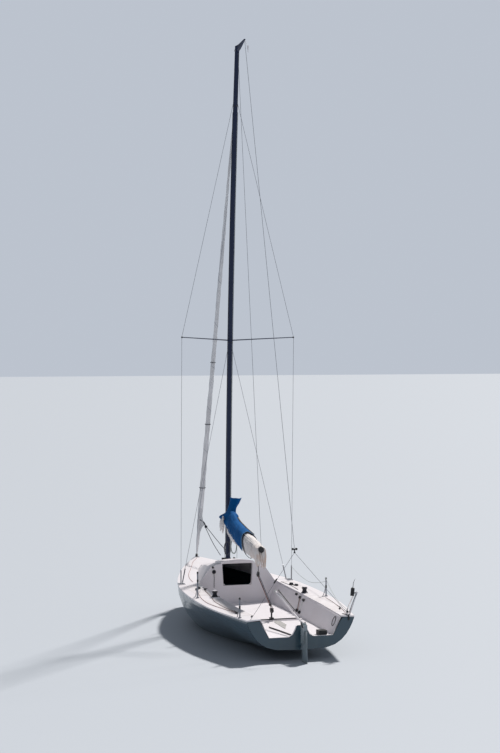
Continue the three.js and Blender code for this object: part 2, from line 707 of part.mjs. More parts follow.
// A pin along the axis that the boom swings about
const pinBody = (half, radius) => {
  const ends = [-half, half].map((h) => [PIVOT[0] - h * RAKE, 0, PIVOT[2] + h]);
  return rod(ends[0], ends[1], radius, 12);
};
const PIN = 8;
const PIN_HALF = 38;
add("boom", cut(join(boomTube(0), ...ears), pinBody(PIN_HALF + 2, PIN + 2 * GAP)), COLOURS.spar, 0.4, 0.3);
const cap = rod(boomAt(boomLength - CAP_LONG), boomAt(boomLength), CAP_RADIUS, 16);
add("boom_end_cap", cap, COLOURS.black, 0.5);
const tongue = box([PIVOT[0] - PIN, -12, PIVOT[2] - 22], [mastX(PIVOT[2]), 12, PIVOT[2] + 22]);
add("gooseneck", cut(join(tongue, pinBody(PIN_HALF, PIN)), mastTool), COLOURS.steel, 0.4, 0.8);

// Mainsail flaked on the boom. Columns: distance aft of the pivot, top, half width, how far the
// port and starboard folds hang below the boom's middle line
const FLAKES = [
  [85, 420, 85, 190, 90],
  [470, 330, 105, 220, 110],
  [870, 240, 125, 255, 130],
  [1470, 185, 130, 290, 140],
  [2370, 145, 125, 310, 170],
  [3020, 95, 112, 300, 230],
  [3455, 60, 95, 260, 330],
];
function bundle(grow) {
  const count = 14;
  const rings = FLAKES.map(([s, top, half, port, starboard]) =>
    Array.from({ length: count }, (_, k) => {
      const a = ((k + 0.5) / count) * 2 * Math.PI;
      const [c, n] = [Math.cos(a), Math.sin(a)];
      const drop = lerp(starboard, port, (c + 1) / 2);
      return onBoom(s, c * (half + grow), n > 0 ? n * (top + grow) : n * (drop + grow));
    }),
  );
  return solid(strip(rings));
}
const slot = (() => {
  const w = BOOM_HALF_WIDE + GAP;
  const ring = (s) => [onBoom(s, -w, -900), onBoom(s, w, -900), onBoom(s, w, 0), onBoom(s, -w, 0)];
  return solid(strip([ring(-300), ring(4000)])).add(boomTool);
})();
add("flaked_mainsail", cut(bundle(0), slot), COLOURS.sail, 0.85);

// Cover over the forward part of the sail: its outline seen from the side, as distance and height
const COVER_EDGE = [
  [102, 150],
  [400, 80],
  [1300, -25],
  [2230, -190],
  [2110, 60],
  [2110, 420],
  [470, 700],
  [102, 700],
];
const coverKeep = (() => {
  const rings = [-400, 400].map((y) => COVER_EDGE.map(([s, h]) => onBoom(s, y, h)));
  return solid(skin(rings, ["x", "z"]));
})();
const COVER_THICK = 12;
// The collar stands up from the cover's forward end and leans to starboard. Columns: distance
// aft of the pivot, out to port, height, half width, half depth
const COLLAR = [
  [165, -10, 300, 92, 55],
  [160, -22, 420, 88, 50],
  [150, -70, 540, 106, 46],
  [150, -112, 648, 120, 34],
];
const collarRows = COLLAR.map(([s, port, high, ...half]) => [...onBoom(s, port, high), ...half]);
const collar = bar(collarRows, 14, V(1, 0, 0));
// A loose flap of the collar that stands out to port, with the same columns
const FLAP = [
  [190, 50, 250, 14, 75],
  [110, 150, 255, 10, 60],
  [55, 212, 240, 8, 30],
];
const flap = bar(FLAP.map(([s, port, high, ...half]) => [...onBoom(s, port, high), ...half]), 10);
const coverBody = join(bundle(COVER_THICK).intersect(coverKeep), collar, flap);
const cover = cut(coverBody, bundle(2 * GAP), slot);
add("sail_cover", cover, COLOURS.cover, 0.8);

// Topping lift from the masthead to the boom's end, and the mainsheet's upper block under the boom
const liftTop = [mastX(MAST_TOP_Z) - 57, 0, MAST_TOP_Z - 145];
const liftFoot = onBoom(boomLength - CAP_LONG / 2, 0, CAP_RADIUS).toArray();
const capTool = rod(boomAt(boomLength - 60), boomAt(boomLength + 10), CAP_RADIUS + GAP, 16);
add("topping_lift", cut(rod(liftTop, liftFoot, STAY, 6), capTool), COLOURS.steel, 0.5);
const SHEET_S = 3220;
const sheetEye = onBoom(SHEET_S, 0, -BOOM_HALF_HIGH + 20).toArray();
const SHEET_RADIUS = 38;
const sheetBlock = [sheetEye[0] + 20, sheetEye[1], 1390];
const sheetStrop = cut(rod(sheetEye, sheetBlock, 7, 8), boomTool);
add("mainsheet_block", join(sheetStrop, blockBody(sheetBlock, 14, SHEET_RADIUS, 0)), COLOURS.black, 0.5);

// Traveller across the sole, the car with its swivel block, and the sheet's fall to the boom's block
const TRACK_X = -1950;
const trackZ = soleTop(TRACK_X);
const RIDGE = { half: 40, long: 600, top: trackZ + 22 };
const TRACK = { half: 14, long: 560, top: RIDGE.top + 18 };
const carLow = TRACK.top + GAP;
const CAR = { half: 55, wide: 32, top: carLow + 26, neck: carLow + 120, head: carLow + 205 };
const across = (half, long, low, top) => box([TRACK_X - half, -long, low], [TRACK_X + half, long, top]);
const ridge = across(RIDGE.half, RIDGE.long, trackZ - 15, RIDGE.top);
add("traveller_ridge", cut(ridge, onSole), COLOURS.deck, 0.5);
add("traveller_track", across(TRACK.half, TRACK.long, RIDGE.top + GAP, TRACK.top), COLOURS.black, 0.5);
const car = join(
  across(CAR.half, CAR.wide, carLow, CAR.top),
  rod([TRACK_X, 0, CAR.top - 6], [TRACK_X, 0, CAR.neck + 10], 16, 12),
  box([TRACK_X - 45, -20, CAR.neck], [TRACK_X + 40, 20, CAR.head]),
);
add("traveller_car", car, COLOURS.black, 0.5);
const sheetLow = sheetBlock[2] - SHEET_RADIUS;
const FALL = 9;
const blockTool = box([-BIG, -BIG, sheetLow - GAP], [BIG, BIG, BIG]);
const fall = rod([TRACK_X, 0, CAR.head - FALL], [sheetBlock[0], sheetBlock[1], sheetLow + FALL], FALL, 8);
const carTop = box([TRACK_X - 100, -100, 0], [TRACK_X + 100, 100, CAR.head + GAP]);
add("mainsheet_fall", cut(fall, carTop, blockTool), COLOURS.sail, 0.8);

// Rudder: blade, cheeks with the pintles, tiller and its extension
const BLADE = [
  [560, -3822, -4080, 20],
  [100, -3822, -4100, 22],
  [-500, -3826, -4085, 20],
  [-1060, -3850, -4040, 12],
];
const bladeRings = BLADE.map(([z, lead, trail, half]) => {
  const chord = lead - trail;
  const foil = [
    [0, 0.25],
    [0.08, 0.8],
    [0.3, 1],
    [0.7, 0.6],
    [1, 0.08],
  ];
  const port = foil.map(([f, w]) => V(lead - f * chord, w * half, z));
  const starboard = foil.map(([f, w]) => V(lead - f * chord, -w * half, z));
  return [...port, ...starboard.reverse()];
});
// A pintle's pin and the two arms that hold it, at a height on the axis the rudder turns about
const GUDGEONS = [
  ["gudgeon_upper", 500],
  ["gudgeon_lower", 250],
];
const pintle = (z, half) =>
  join(
    rod([PINTLE_X, 0, z - 30], [PINTLE_X, 0, z + 30], 6, 12),
    box([BLADE_FRONT - 2, -half, z + 19], [PINTLE_X + 10, half, z + 25]),
    box([BLADE_FRONT - 2, -half, z - 25], [PINTLE_X + 10, half, z - 19]),
  );
const blade = solid(skin(bladeRings, ["x", "y"]));
const LOWER_PINTLE = GUDGEONS[1][1];
const band = box([-3905, -25, LOWER_PINTLE - 30], [BLADE_FRONT + 4, 25, LOWER_PINTLE + 30]);
add("rudder_blade", join(blade, band, pintle(LOWER_PINTLE, 12)), COLOURS.blade, 0.4);
const HEAD = { aft: -4010, front: BLADE_FRONT + 4, half: 30, low: 330, top: 690 };
const BLADE_TOP = BLADE[0][0];
const BLADE_HALF = 22 + GAP;
const cheeks = SIDES.map(([, s]) => {
  const [a, b] = [s * BLADE_HALF, s * HEAD.half];
  return box([HEAD.aft, Math.min(a, b), HEAD.low], [HEAD.front, Math.max(a, b), HEAD.top - 30]);
});
const headBlock = box([HEAD.aft, -HEAD.half, BLADE_TOP + 2], [HEAD.front, HEAD.half, HEAD.top]);
const bladeTool = box([-4200, -BLADE_HALF, 0], [BLADE_FRONT, BLADE_HALF, BLADE_TOP + GAP]);
const TILLER = [
  [-3905, 4, 684, 17, 20],
  [-3600, 12, 735, 17, 20],
  [-3200, 32, 850, 16, 19],
  [-2800, 52, 975, 15, 17],
  [-2450, 70, 1070, 14, 15],
];
const tillerBody = (grow) => bar(TILLER.map(([x, y, z, w, h]) => [x, y, z, w + grow, h + grow]), 10);
add("tiller", tillerBody(0), COLOURS.steel, 0.3, 0.6);
const head = join(headBlock, ...cheeks, pintle(GUDGEONS[0][1], HEAD.half));
const headRear = box([-4200, -BIG, HEAD.top - 19], [-3950, BIG, HEAD.top + 110]);
add("rudder_head", cut(head, bladeTool, tillerBody(GAP), headRear), COLOURS.blade, 0.45);
const EXTENSION = [
  [-3350, -8, 850, 9],
  [-2700, 28, 1050, 9],
  [-2520, 38, 1104, 13],
];
const swivel = rod([-3340, -6, 848], [-3340, 22, 812], 7, 8);
const extension = cut(join(bar(EXTENSION, 8), swivel), tillerBody(GAP));
add("tiller_extension", extension, COLOURS.black, 0.5);
for (const [name, z] of GUDGEONS) {
  const eye = join(
    box([PINTLE_X, -14, z - 12], [AFT - GAP, 14, z + 12]),
    rod([PINTLE_X, 0, z - 14], [PINTLE_X, 0, z + 14], 13, 14),
  );
  const bore = rod([PINTLE_X, 0, z - 20], [PINTLE_X, 0, z + 20], 6.6, 14);
  add(name, cut(eye, bore), COLOURS.black, 0.45, 0.4);
}

// Winches, genoa tracks, stanchions, stern rail and small deck fittings
for (const [side, s] of SIDES) {
  const [x, y] = [-1200, s * 905];
  const base = deckTop(x, y) + GAP;
  const winch = join(
    rod([x, y, base - 15], [x, y, base + 30], 68, 20),
    rod([x, y, base + 25], [x, y, base + 105], 46, 20),
    rod([x, y, base + 100], [x, y, base + 125], 58, 20),
  );
  add("winch_" + side, cut(winch, onDeck), COLOURS.black, 0.35, 0.6);
  const onTrack = (f, half, high) => {
    const place = [lerp(-150, -330, f), s * lerp(930, 1050, f)];
    return [...place, deckTop(...place), half, high];
  };
  const track = join(
    bar([onTrack(0, 24, 24), onTrack(1, 24, 24)], 4),
    bar([onTrack(0.1, 38, 62), onTrack(0.35, 38, 62)], 4),
    bar([onTrack(0.72, 34, 52), onTrack(0.95, 34, 52)], 4),
  );
  add("genoa_track_" + side, cut(track, onDeck), COLOURS.black, 0.5);
}

// Stanchions: station, distance out from the centreline, height, and where a brace lands
const STANCHIONS = [
  ["stanchion_port_middle", -1120, 1225, 500, -950],
  ["stanchion_port_quarter", -3420, 1045, 360, -3250],
  ["stanchion_starboard_middle", -1560, -1225, 360, -1390],
];
for (const [name, x, y, height, braceX] of STANCHIONS) {
  const base = deckTop(x, y);
  const post = join(
    rod([x, y, base - 20], [x, y, base + 12], 32, 14),
    rod([x, y, base], [x, y, base + height], 14, 10),
    rod([braceX, y, base - 20], [x, y, base + height * 0.55], 8, 8),
  );
  add(name, cut(post, onDeck), COLOURS.steel, 0.25, 0.9);
}

// Stern rail on the starboard quarter: two legs joined by a short top, with a dark holder by it
const RAIL = [
  [-3550, -985, 730],
  [-3700, -1078, 1165],
  [-3672, -1038, 1150],
  [-3060, -1105, 730],
];
const RAIL_RADIUS = 13;
const railTubes = [0, 1, 2].map((i) => rod(RAIL[i], RAIL[i + 1], RAIL_RADIUS, 12));
const railHolder = rod([-3665, -1000, 1105], [-3650, -1020, 1235], 30, 12);
add("stern_rail", cut(join(...railTubes, railHolder), onDeck), COLOURS.steel, 0.25, 0.9);

// Compass on the bulkhead, and the motor pad that stands on the cut-out's sill
const COMPASS = [BULKHEAD_AT - GAP, 491, 1118];
add("compass", rod([COMPASS[0] - 34, COMPASS[1], COMPASS[2]], COMPASS, 40, 24), COLOURS.black, 0.3);
const PAD_TOP = 512;
const pad = box([transomFront + 2 * GAP, -500, PAD_TOP - 100], [-3560, -345, PAD_TOP]);
add("sill_pad", cut(pad, onSole), COLOURS.black, 0.7);

export default group;
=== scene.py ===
"""Looks of a 7.5 m sport keelboat afloat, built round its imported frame.

Metres throughout: +X to the bow, +Y to port, +Z up, origin on the waterline amidships.
"""

import logging
import math
from collections.abc import Sequence
from dataclasses import dataclass, field
from enum import Enum

import bmesh
import bpy
from mathutils import Matrix, Vector, noise
from mathutils.bvhtree import BVHTree


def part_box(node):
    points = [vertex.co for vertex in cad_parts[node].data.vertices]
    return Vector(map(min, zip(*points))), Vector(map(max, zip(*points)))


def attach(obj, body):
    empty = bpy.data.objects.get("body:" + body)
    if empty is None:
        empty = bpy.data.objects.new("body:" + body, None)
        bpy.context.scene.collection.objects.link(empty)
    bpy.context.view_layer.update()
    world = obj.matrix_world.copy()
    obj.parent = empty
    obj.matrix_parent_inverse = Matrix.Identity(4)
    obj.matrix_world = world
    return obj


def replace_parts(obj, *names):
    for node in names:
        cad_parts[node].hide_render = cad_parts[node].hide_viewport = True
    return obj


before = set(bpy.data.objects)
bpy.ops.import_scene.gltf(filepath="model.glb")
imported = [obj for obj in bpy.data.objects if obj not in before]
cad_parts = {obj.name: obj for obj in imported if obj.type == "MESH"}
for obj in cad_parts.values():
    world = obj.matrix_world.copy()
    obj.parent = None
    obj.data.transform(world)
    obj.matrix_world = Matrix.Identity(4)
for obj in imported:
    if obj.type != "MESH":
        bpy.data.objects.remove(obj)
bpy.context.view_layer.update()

Point = tuple[float, float, float]
Colour = tuple[float, float, float]
Socket = bpy.types.NodeSocket
log = logging.getLogger("keelboat")

HULL = "hull"
BOOM = "boom"
RUDDER = "rudder"
SIDES = (("port", 1.0), ("starboard", -1.0))
UP = Vector((0, 0, 1))
CLOTH_SHARP = 60.0


def shares(steps: int) -> list[float]:
    """Even shares from 0 to 1."""
    return [i / steps for i in range(steps + 1)]


def angles(count: int) -> list[float]:
    """Angles that part a full turn evenly."""
    return [k / count * math.tau for k in range(count)]


# Node trees


@dataclass
class Tree:
    """A shader or geometry node tree that is being wired."""

    tree: bpy.types.NodeTree

    def add(self, kind: str, inputs: dict | None = None, **settings: object) -> bpy.types.Node:
        """Adds a node, sets its own properties, and sets or links its inputs.

        Args:
            kind: the node's type name.
            inputs: input name or index to a value, or to the socket that feeds it.
            **settings: properties of the node itself.

        Returns:
            The node.
        """
        node = self.tree.nodes.new(kind)
        for name, value in settings.items():
            setattr(node, name, value)
        for name, value in (inputs or {}).items():
            if isinstance(value, Socket):
                self.tree.links.new(value, node.inputs[name])
            else:
                node.inputs[name].default_value = value
        return node

    def mix(self, mask: object, low: object, high: object) -> Socket:
        """Blends two colours by a mask and returns the colour socket."""
        return self.add("ShaderNodeMix", {0: mask, 6: low, 7: high}, data_type="RGBA").outputs[2]

    def ramp(
        self, value: object, low: float, high: float, to_low: float = 0.0, to_high: float = 1.0
    ) -> Socket:
        """Maps a value from one range to another, clamped, and returns the socket."""
        inputs = {0: value, 1: low, 2: high, 3: to_low, 4: to_high}
        return self.add("ShaderNodeMapRange", inputs).outputs[0]

    def maths(self, operation: str, *values: object) -> Socket:
        """One sum on one to three values, and its socket."""
        return self.add("ShaderNodeMath", dict(enumerate(values)), operation=operation).outputs[0]

    def noise(self, vector: object, scale: object, detail: float = 3.0) -> Socket:
        """A noise texture's value."""
        inputs = {"Vector": vector, "Scale": scale, "Detail": detail}
        return self.add("ShaderNodeTexNoise", inputs).outputs[0]

    def feed(self, out: dict, **values: Socket) -> None:
        """Links values to a group's outputs by name."""
        for name, value in values.items():
            self.tree.links.new(value, out[name])


FLOAT = "NodeSocketFloat"
COLOR = "NodeSocketColor"
VECTOR = "NodeSocketVector"


def shader_group(name: str, takes: dict[str, str], gives: dict[str, str]) -> tuple[Tree, dict, dict]:
    """Makes an empty shader group.

    Args:
        name: the group's name.
        takes: input name to socket type.
        gives: output name to socket type.

    Returns:
        The tree, its inner input sockets by name, and the group output node's inputs by name.
    """
    group = bpy.data.node_groups.new(name, "ShaderNodeTree")
    for way, sockets in (("INPUT", takes), ("OUTPUT", gives)):
        for label, kind in sockets.items():
            group.interface.new_socket(name=label, in_out=way, socket_type=kind)
    inner = group.nodes.new("NodeGroupInput")
    outer = group.nodes.new("NodeGroupOutput")
    return Tree(group), dict(inner.outputs.items()), dict(outer.inputs.items())


def weather_group() -> None:
    """Broad tone changes, fine speckle and small dents for any weathered surface."""
    takes = {"Vector": VECTOR, "Base": COLOR, "Stain": COLOR, "Scale": FLOAT, "Amount": FLOAT}
    tree, inp, out = shader_group("weather", takes, {"Color": COLOR, "Mask": FLOAT, "Height": FLOAT})
    broad = tree.noise(inp["Vector"], inp["Scale"], 4.0)
    fine = tree.noise(inp["Vector"], tree.maths("MULTIPLY", inp["Scale"], 19.0), 2.0)
    patch = tree.ramp(broad, 0.38, 0.72)
    both = tree.maths("MULTIPLY_ADD", tree.ramp(fine, 0.45, 0.75), 0.3, patch)
    mask = tree.maths("MULTIPLY", both, inp["Amount"])
    tree.feed(out, Color=tree.mix(mask, inp["Base"], inp["Stain"]), Mask=mask, Height=both)


def grip_group() -> None:
    """Small raised diamonds of a moulded non-slip pattern, as a height and a tone mask."""
    takes = {"Vector": VECTOR, "Pitch": FLOAT}
    tree, inp, out = shader_group("grip", takes, {"Height": FLOAT, "Mask": FLOAT})
    turned = tree.add("ShaderNodeMapping", {"Vector": inp["Vector"], "Rotation": (0, 0, math.pi / 4)})
    cell = {"Vector": turned.outputs[0], "Scale": inp["Pitch"], "Randomness": 0.12}
    knob = tree.ramp(tree.add("ShaderNodeTexVoronoi", cell).outputs["Distance"], 0.55, 0.2)
    tree.feed(out, Height=knob, Mask=knob)


def weave_group() -> None:
    """Crossed threads of a woven cloth, as a height and a tone mask."""
    takes = {"Vector": VECTOR, "Pitch": FLOAT}
    tree, inp, out = shader_group("weave", takes, {"Height": FLOAT, "Mask": FLOAT})
    inputs = {"Vector": inp["Vector"], "Scale": inp["Pitch"], "Distortion": 0.4, "Detail": 1.0}
    threads = [tree.add("ShaderNodeTexWave", inputs, bands_direction=way).outputs[1] for way in ("X", "Y")]
    height = tree.maths("MAXIMUM", *threads)
    tree.feed(out, Height=height, Mask=tree.ramp(height, 0.3, 1.0))


def lay_group() -> None:
    """Slanting strands of a braided rope from a UV map in metres, as a height and a fleck mask."""
    takes = {"UV": VECTOR, "Pitch": FLOAT}
    tree, inp, out = shader_group("lay", takes, {"Height": FLOAT, "Fleck": FLOAT})
    split = tree.add("ShaderNodeSeparateXYZ", {0: inp["UV"]})
    along = tree.maths("MULTIPLY", split.outputs[0], inp["Pitch"])
    strands = []
    for turn in (3.0, -3.0):
        slant = tree.maths("MULTIPLY_ADD", split.outputs[1], turn, along)
        strands.append(tree.maths("PINGPONG", slant, 0.5))
    fleck = tree.maths("LESS_THAN", tree.maths("FRACT", tree.maths("MULTIPLY", along, 0.25)), 0.3)
    shown = tree.maths("MULTIPLY", fleck, tree.ramp(strands[0], 0.2, 0.3))
    tree.feed(out, Height=tree.maths("MAXIMUM", *strands), Fleck=shown)


class Skin(Enum):
    """What kind of surface a finish has."""

    GELCOAT = "smooth moulded gelcoat"
    GRIP = "gelcoat with a non-slip pattern"
    METAL = "drawn or cast metal"
    MOULDED = "moulded plastic"
    CLOTH = "woven cloth"
    ROPE = "braided rope"


@dataclass(frozen=True)
class Finish:
    """One finish: its colours, its gloss and the detail that its kind of surface has."""

    name: str
    skin: Skin
    colour: Colour
    stain: Colour
    rough: float
    metal: float = 0.0
    amount: float = 0.4
    scale: float = 3.0
    bump: float = 0.15
    pitch: float = 90.0
    coat: float = 0.0
    thread: float = 0.35
    shine: float = 0.5
    slot: str = "black_fitting"

    def material(self) -> bpy.types.Material:
        """Builds the material once and returns it from then on."""
        known = bpy.data.materials.get(self.name)
        if known:
            return known
        made = bpy.data.materials.new(self.name)
        made.use_nodes = True
        made.node_tree.nodes.clear()
        self.wire(Tree(made.node_tree))
        return made

    def wire(self, tree: Tree) -> None:
        """Wires the shader for this finish."""
        coords = tree.add("ShaderNodeTexCoord")
        place = coords.outputs["UV"] if self.skin is Skin.ROPE else coords.outputs["Object"]
        stain = (*self.stain, 1)
        inputs = {"Vector": coords.outputs["Object"], "Base": (*self.colour, 1), "Stain": stain}
        inputs |= {"Scale": self.scale, "Amount": self.amount}
        weather = tree.add("ShaderNodeGroup", inputs, node_tree=bpy.data.node_groups["weather"])
        colour = weather.outputs["Color"]
        height = weather.outputs["Height"]
        pattern = {Skin.GRIP: "grip", Skin.CLOTH: "weave", Skin.ROPE: "lay"}.get(self.skin)
        if pattern:
            inputs = {0: place, "Pitch": self.pitch}
            group = tree.add("ShaderNodeGroup", inputs, node_tree=bpy.data.node_groups[pattern])
            height = tree.maths("MULTIPLY_ADD", group.outputs["Height"], 0.8, height)
            colour = tree.mix(tree.maths("MULTIPLY", group.outputs[1], self.thread), colour, stain)
        elif self.skin is Skin.METAL:
            drawn = tree.add("ShaderNodeMapping", {"Vector": place, "Scale": (40, 40, 3)})
            height = tree.noise(drawn.outputs[0], 30.0, 2.0)
        rough = tree.ramp(weather.outputs["Mask"], 0.0, 1.0, self.rough, min(self.rough + 0.2, 1.0))
        bump = tree.add("ShaderNodeBump", {"Height": height, "Strength": self.bump, "Distance": 0.002})
        shader = tree.add(
            "ShaderNodeBsdfPrincipled",
            {
                "Base Color": self.tint(tree, coords.outputs["Object"], colour),
                "Roughness": rough,
                "Metallic": self.metal,
                "Specular IOR Level": self.shine,
                "Coat Weight": self.coat,
                "Coat Roughness": 0.12,
                "Normal": bump.outputs[0],
            },
        )
        tree.add("ShaderNodeOutputMaterial", {0: shader.outputs[0]})

    def tint(self, tree: Tree, place: Socket, colour: Socket) -> Socket:
        """Adds what only some finishes have; a plain finish returns its colour unchanged."""
        return colour


@dataclass(frozen=True)
class Topsides(Finish):
    """Gelcoat with run-off streaks, a pale band of dirt and painted glint at the water, dark paint below."""

    paint: Colour = (0.02, 0.035, 0.045)
    # Colour of the pale band at the water: partly dirt, partly painted glint.
    scum_and_glint: Colour = (0.33, 0.38, 0.34)

    def tint(self, tree: Tree, place: Socket, colour: Socket) -> Socket:
        """Streaks, the pale band of dirt and painted glint, and bottom paint by height over the water."""
        height = tree.add("ShaderNodeSeparateXYZ", {0: place}).outputs[2]
        long = tree.add("ShaderNodeMapping", {"Vector": place, "Scale": (9, 9, 0.7)})
        streak = tree.ramp(tree.noise(long.outputs[0], 1.0, 5.0), 0.5, 0.75, 0.0, 0.35)
        low = tree.ramp(height, 0.75, 0.1)
        colour = tree.mix(tree.maths("MULTIPLY", streak, low), colour, (*self.stain, 1))
        # Pale band just over the water: partly waterline dirt, partly a painted glint of the water.
        ragged = tree.maths("MULTIPLY_ADD", tree.noise(place, 14.0), 0.05, height)
        band = tree.maths("MULTIPLY", tree.ramp(ragged, 0.075, 0.045), 0.75)
        colour = tree.mix(band, colour, (*self.scum_and_glint, 1))
        return tree.mix(tree.ramp(height, 0.012, 0.004), colour, (*self.paint, 1))


@dataclass(frozen=True)
class Leech(Finish):
    """Sailcloth that is tan towards the sail's after edge."""

    tan: Colour = (0.62, 0.42, 0.3)

    def tint(self, tree: Tree, place: Socket, colour: Socket) -> Socket:
        """Tan stain in soft patches low down and aft."""
        split = tree.add("ShaderNodeSeparateXYZ", {0: place})
        aft = tree.ramp(split.outputs[0], -1.3, -2.3)
        low = tree.ramp(split.outputs[2], 1.98, 1.6)
        patch = tree.ramp(tree.noise(place, 7.0), 0.35, 0.65)
        mask = tree.maths("MULTIPLY", tree.maths("MULTIPLY", aft, low), tree.maths("MULTIPLY", patch, 0.8))
        return tree.mix(mask, colour, (*self.tan, 1))


@dataclass(frozen=True)
class Rolled(Finish):
    """Sailcloth in a roll: panel seams and the darker edges of its turns, from its UV map."""

    seam: Colour = (0.2, 0.24, 0.3)

    def tint(self, tree: Tree, place: Socket, colour: Socket) -> Socket:
        """Dark lines where one turn ends on the next, and cross seams."""
        uv = tree.add("ShaderNodeUVMap", uv_map="UVMap").outputs[0]
        split = tree.add("ShaderNodeSeparateXYZ", {0: uv})
        edge = tree.ramp(tree.maths("PINGPONG", split.outputs[1], 0.5), 0.035, 0.0, 0.0, 0.8)
        lean = tree.maths("MULTIPLY_ADD", split.outputs[1], 0.3, split.outputs[0])
        cross = tree.maths("PINGPONG", lean, 0.45)
        line = tree.ramp(cross, 0.012, 0.004, 0.0, 0.55)
        return tree.mix(tree.maths("MAXIMUM", edge, line), colour, (*self.seam, 1))


TOPSIDES = Topsides(
    "topsides gelcoat", Skin.GELCOAT, (0.034, 0.075, 0.108), (0.075, 0.115, 0.125), 0.22, amount=0.22,
    scale=0.8, bump=0.05, coat=0.4, slot="topsides_gelcoat",
)
DECK = Finish(
    "deck gelcoat", Skin.GELCOAT, (0.83, 0.8, 0.83), (0.66, 0.6, 0.6), 0.38, amount=0.28, scale=1.7,
    bump=0.06, slot="deck_gelcoat",
)
NONSLIP = Finish(
    "non-slip gelcoat", Skin.GRIP, (0.74, 0.71, 0.73), (0.52, 0.48, 0.48), 0.6, amount=0.35, scale=2.3,
    bump=0.7, pitch=70.0, slot="deck_gelcoat",
)
CABIN = Finish(
    "cabin flow coat", Skin.GELCOAT, (0.7, 0.86, 0.96), (0.5, 0.66, 0.78), 0.7, amount=0.6, bump=0.3,
    slot="deck_gelcoat",
)
KEEL = Finish(
    "bottom paint", Skin.MOULDED, (0.03, 0.045, 0.055), (0.09, 0.1, 0.08), 0.75, amount=0.7, scale=4.0,
    bump=0.5, slot="keel_coating",
)
SPAR = Finish(
    "navy spar paint", Skin.GELCOAT, (0.006, 0.014, 0.05), (0.016, 0.03, 0.075), 0.32, amount=0.5,
    scale=2.0, bump=0.08, shine=0.35, slot="spar_paint",
)
WIRE = Finish(
    "stay wire", Skin.METAL, (0.3, 0.31, 0.34), (0.2, 0.19, 0.18), 0.35, metal=1.0, amount=0.5,
    bump=0.5, slot="rigging_steel",
)
STEEL = Finish(
    "polished stainless", Skin.METAL, (0.66, 0.67, 0.69), (0.4, 0.36, 0.33), 0.16, metal=1.0,
    amount=0.35, scale=9.0, bump=0.12, slot="polished_steel",
)
# Dark steel for the stanchions; on one leg of the stern rail this dark colour is painted shade.
DARK_STEEL = Finish(
    "dark stanchion steel", Skin.METAL, (0.2, 0.22, 0.26), (0.42, 0.42, 0.44), 0.32, metal=0.9,
    amount=0.6, scale=12.0, bump=0.12, slot="polished_steel",
)
BLACK = Finish(
    "black moulding", Skin.MOULDED, (0.012, 0.013, 0.016), (0.05, 0.05, 0.055), 0.45, amount=0.5,
    scale=14.0, bump=0.25, slot="black_fitting",
)
ALLOY = Finish(
    "black anodised alloy", Skin.METAL, (0.022, 0.023, 0.03), (0.1, 0.1, 0.11), 0.34, metal=0.7,
    amount=0.45, scale=16.0, bump=0.2, slot="black_alloy",
)
COVER = Finish(
    "blue cover cloth", Skin.CLOTH, (0.0, 0.1, 0.31), (0.0, 0.045, 0.17), 0.8, amount=0.4, scale=5.0,
    bump=0.25, pitch=160.0, thread=0.1, shine=0.15, slot="cover_cloth",
)
COVER_HEM = Finish(
    "faded cover hem", Skin.CLOTH, (0.06, 0.2, 0.42), (0.2, 0.36, 0.56), 0.75, amount=0.6, scale=9.0,
    bump=0.35, pitch=160.0, slot="cover_cloth",
)
SAIL = Leech(
    "mainsail cloth", Skin.CLOTH, (0.82, 0.79, 0.78), (0.6, 0.56, 0.55), 0.62, amount=0.35, scale=6.0,
    bump=0.3, pitch=220.0, thread=0.08, shine=0.25, slot="sailcloth",
)
JIB = Rolled(
    "headsail cloth", Skin.CLOTH, (0.78, 0.78, 0.8), (0.4, 0.38, 0.38), 0.6, amount=0.4, scale=2.0,
    bump=0.3, pitch=220.0, thread=0.1, shine=0.2, slot="jib_cloth",
)
# The rudder is white gelcoat; this grey-blue base colour is its look in shade, painted shade.
RUDDER_COAT = Topsides(
    "rudder gelcoat", Skin.GELCOAT, (0.3, 0.36, 0.4), (0.2, 0.23, 0.22), 0.28, amount=0.5, scale=4.0,
    bump=0.08, coat=0.2, slot="rudder_gelcoat",
)
RUBBER = Finish(
    "pad rubber", Skin.GRIP, (0.016, 0.018, 0.02), (0.07, 0.07, 0.07), 0.8, amount=0.5, scale=20.0,
    bump=0.6, pitch=150.0, slot="black_fitting",
)
GREY_MESH = Finish(
    "grey hatched pad", Skin.CLOTH, (0.5, 0.49, 0.48), (0.24, 0.24, 0.24), 0.8, amount=0.5, scale=14.0,
    bump=0.8, pitch=30.0, slot="black_fitting",
)


def rope(name: str, colour: Colour, fleck: Colour) -> Finish:
    """A braided rope's finish with its colour and the colour of its fleck."""
    look = {"amount": 0.35, "scale": 20.0, "bump": 0.8, "pitch": 45.0, "thread": 0.8, "shine": 0.2}
    return Finish(name, Skin.ROPE, colour, fleck, 0.8, **look, slot="rope")


ROPE_WHITE = rope("pale rope", (0.62, 0.63, 0.62), (0.25, 0.4, 0.36))
ROPE_RED = rope("brown-red rope", (0.26, 0.1, 0.08), (0.5, 0.36, 0.32))
ROPE_DARK = rope("dark rope", (0.03, 0.035, 0.045), (0.16, 0.17, 0.2))
ROPE_GREEN = rope("grey-green rope", (0.22, 0.27, 0.24), (0.55, 0.58, 0.54))
ROPE_TAN = rope("tan rope", (0.34, 0.25, 0.22), (0.16, 0.1, 0.09))


# Shapes


def cross_frame(along: Vector, up: Vector) -> tuple[Vector, Vector]:
    """Two unit directions square to a line, the second nearest to up."""
    side = along.cross(up)
    if side.length < 1e-6:
        side = along.cross(Vector((1, 0, 0)))
    side.normalize()
    return side, side.cross(along).normalized()


def loop_points(centre: Vector, across: Vector, high: Vector, count: int) -> list[Vector]:
    """Points on an ellipse about a centre, from its two half axes."""
    return [centre + across * math.cos(a) + high * math.sin(a) for a in angles(count)]


def put(name: str, data: bpy.types.ID) -> bpy.types.Object:
    """Makes an object from its data and links it to the scene."""
    made = bpy.data.objects.new(name, data)
    bpy.context.scene.collection.objects.link(made)
    return made


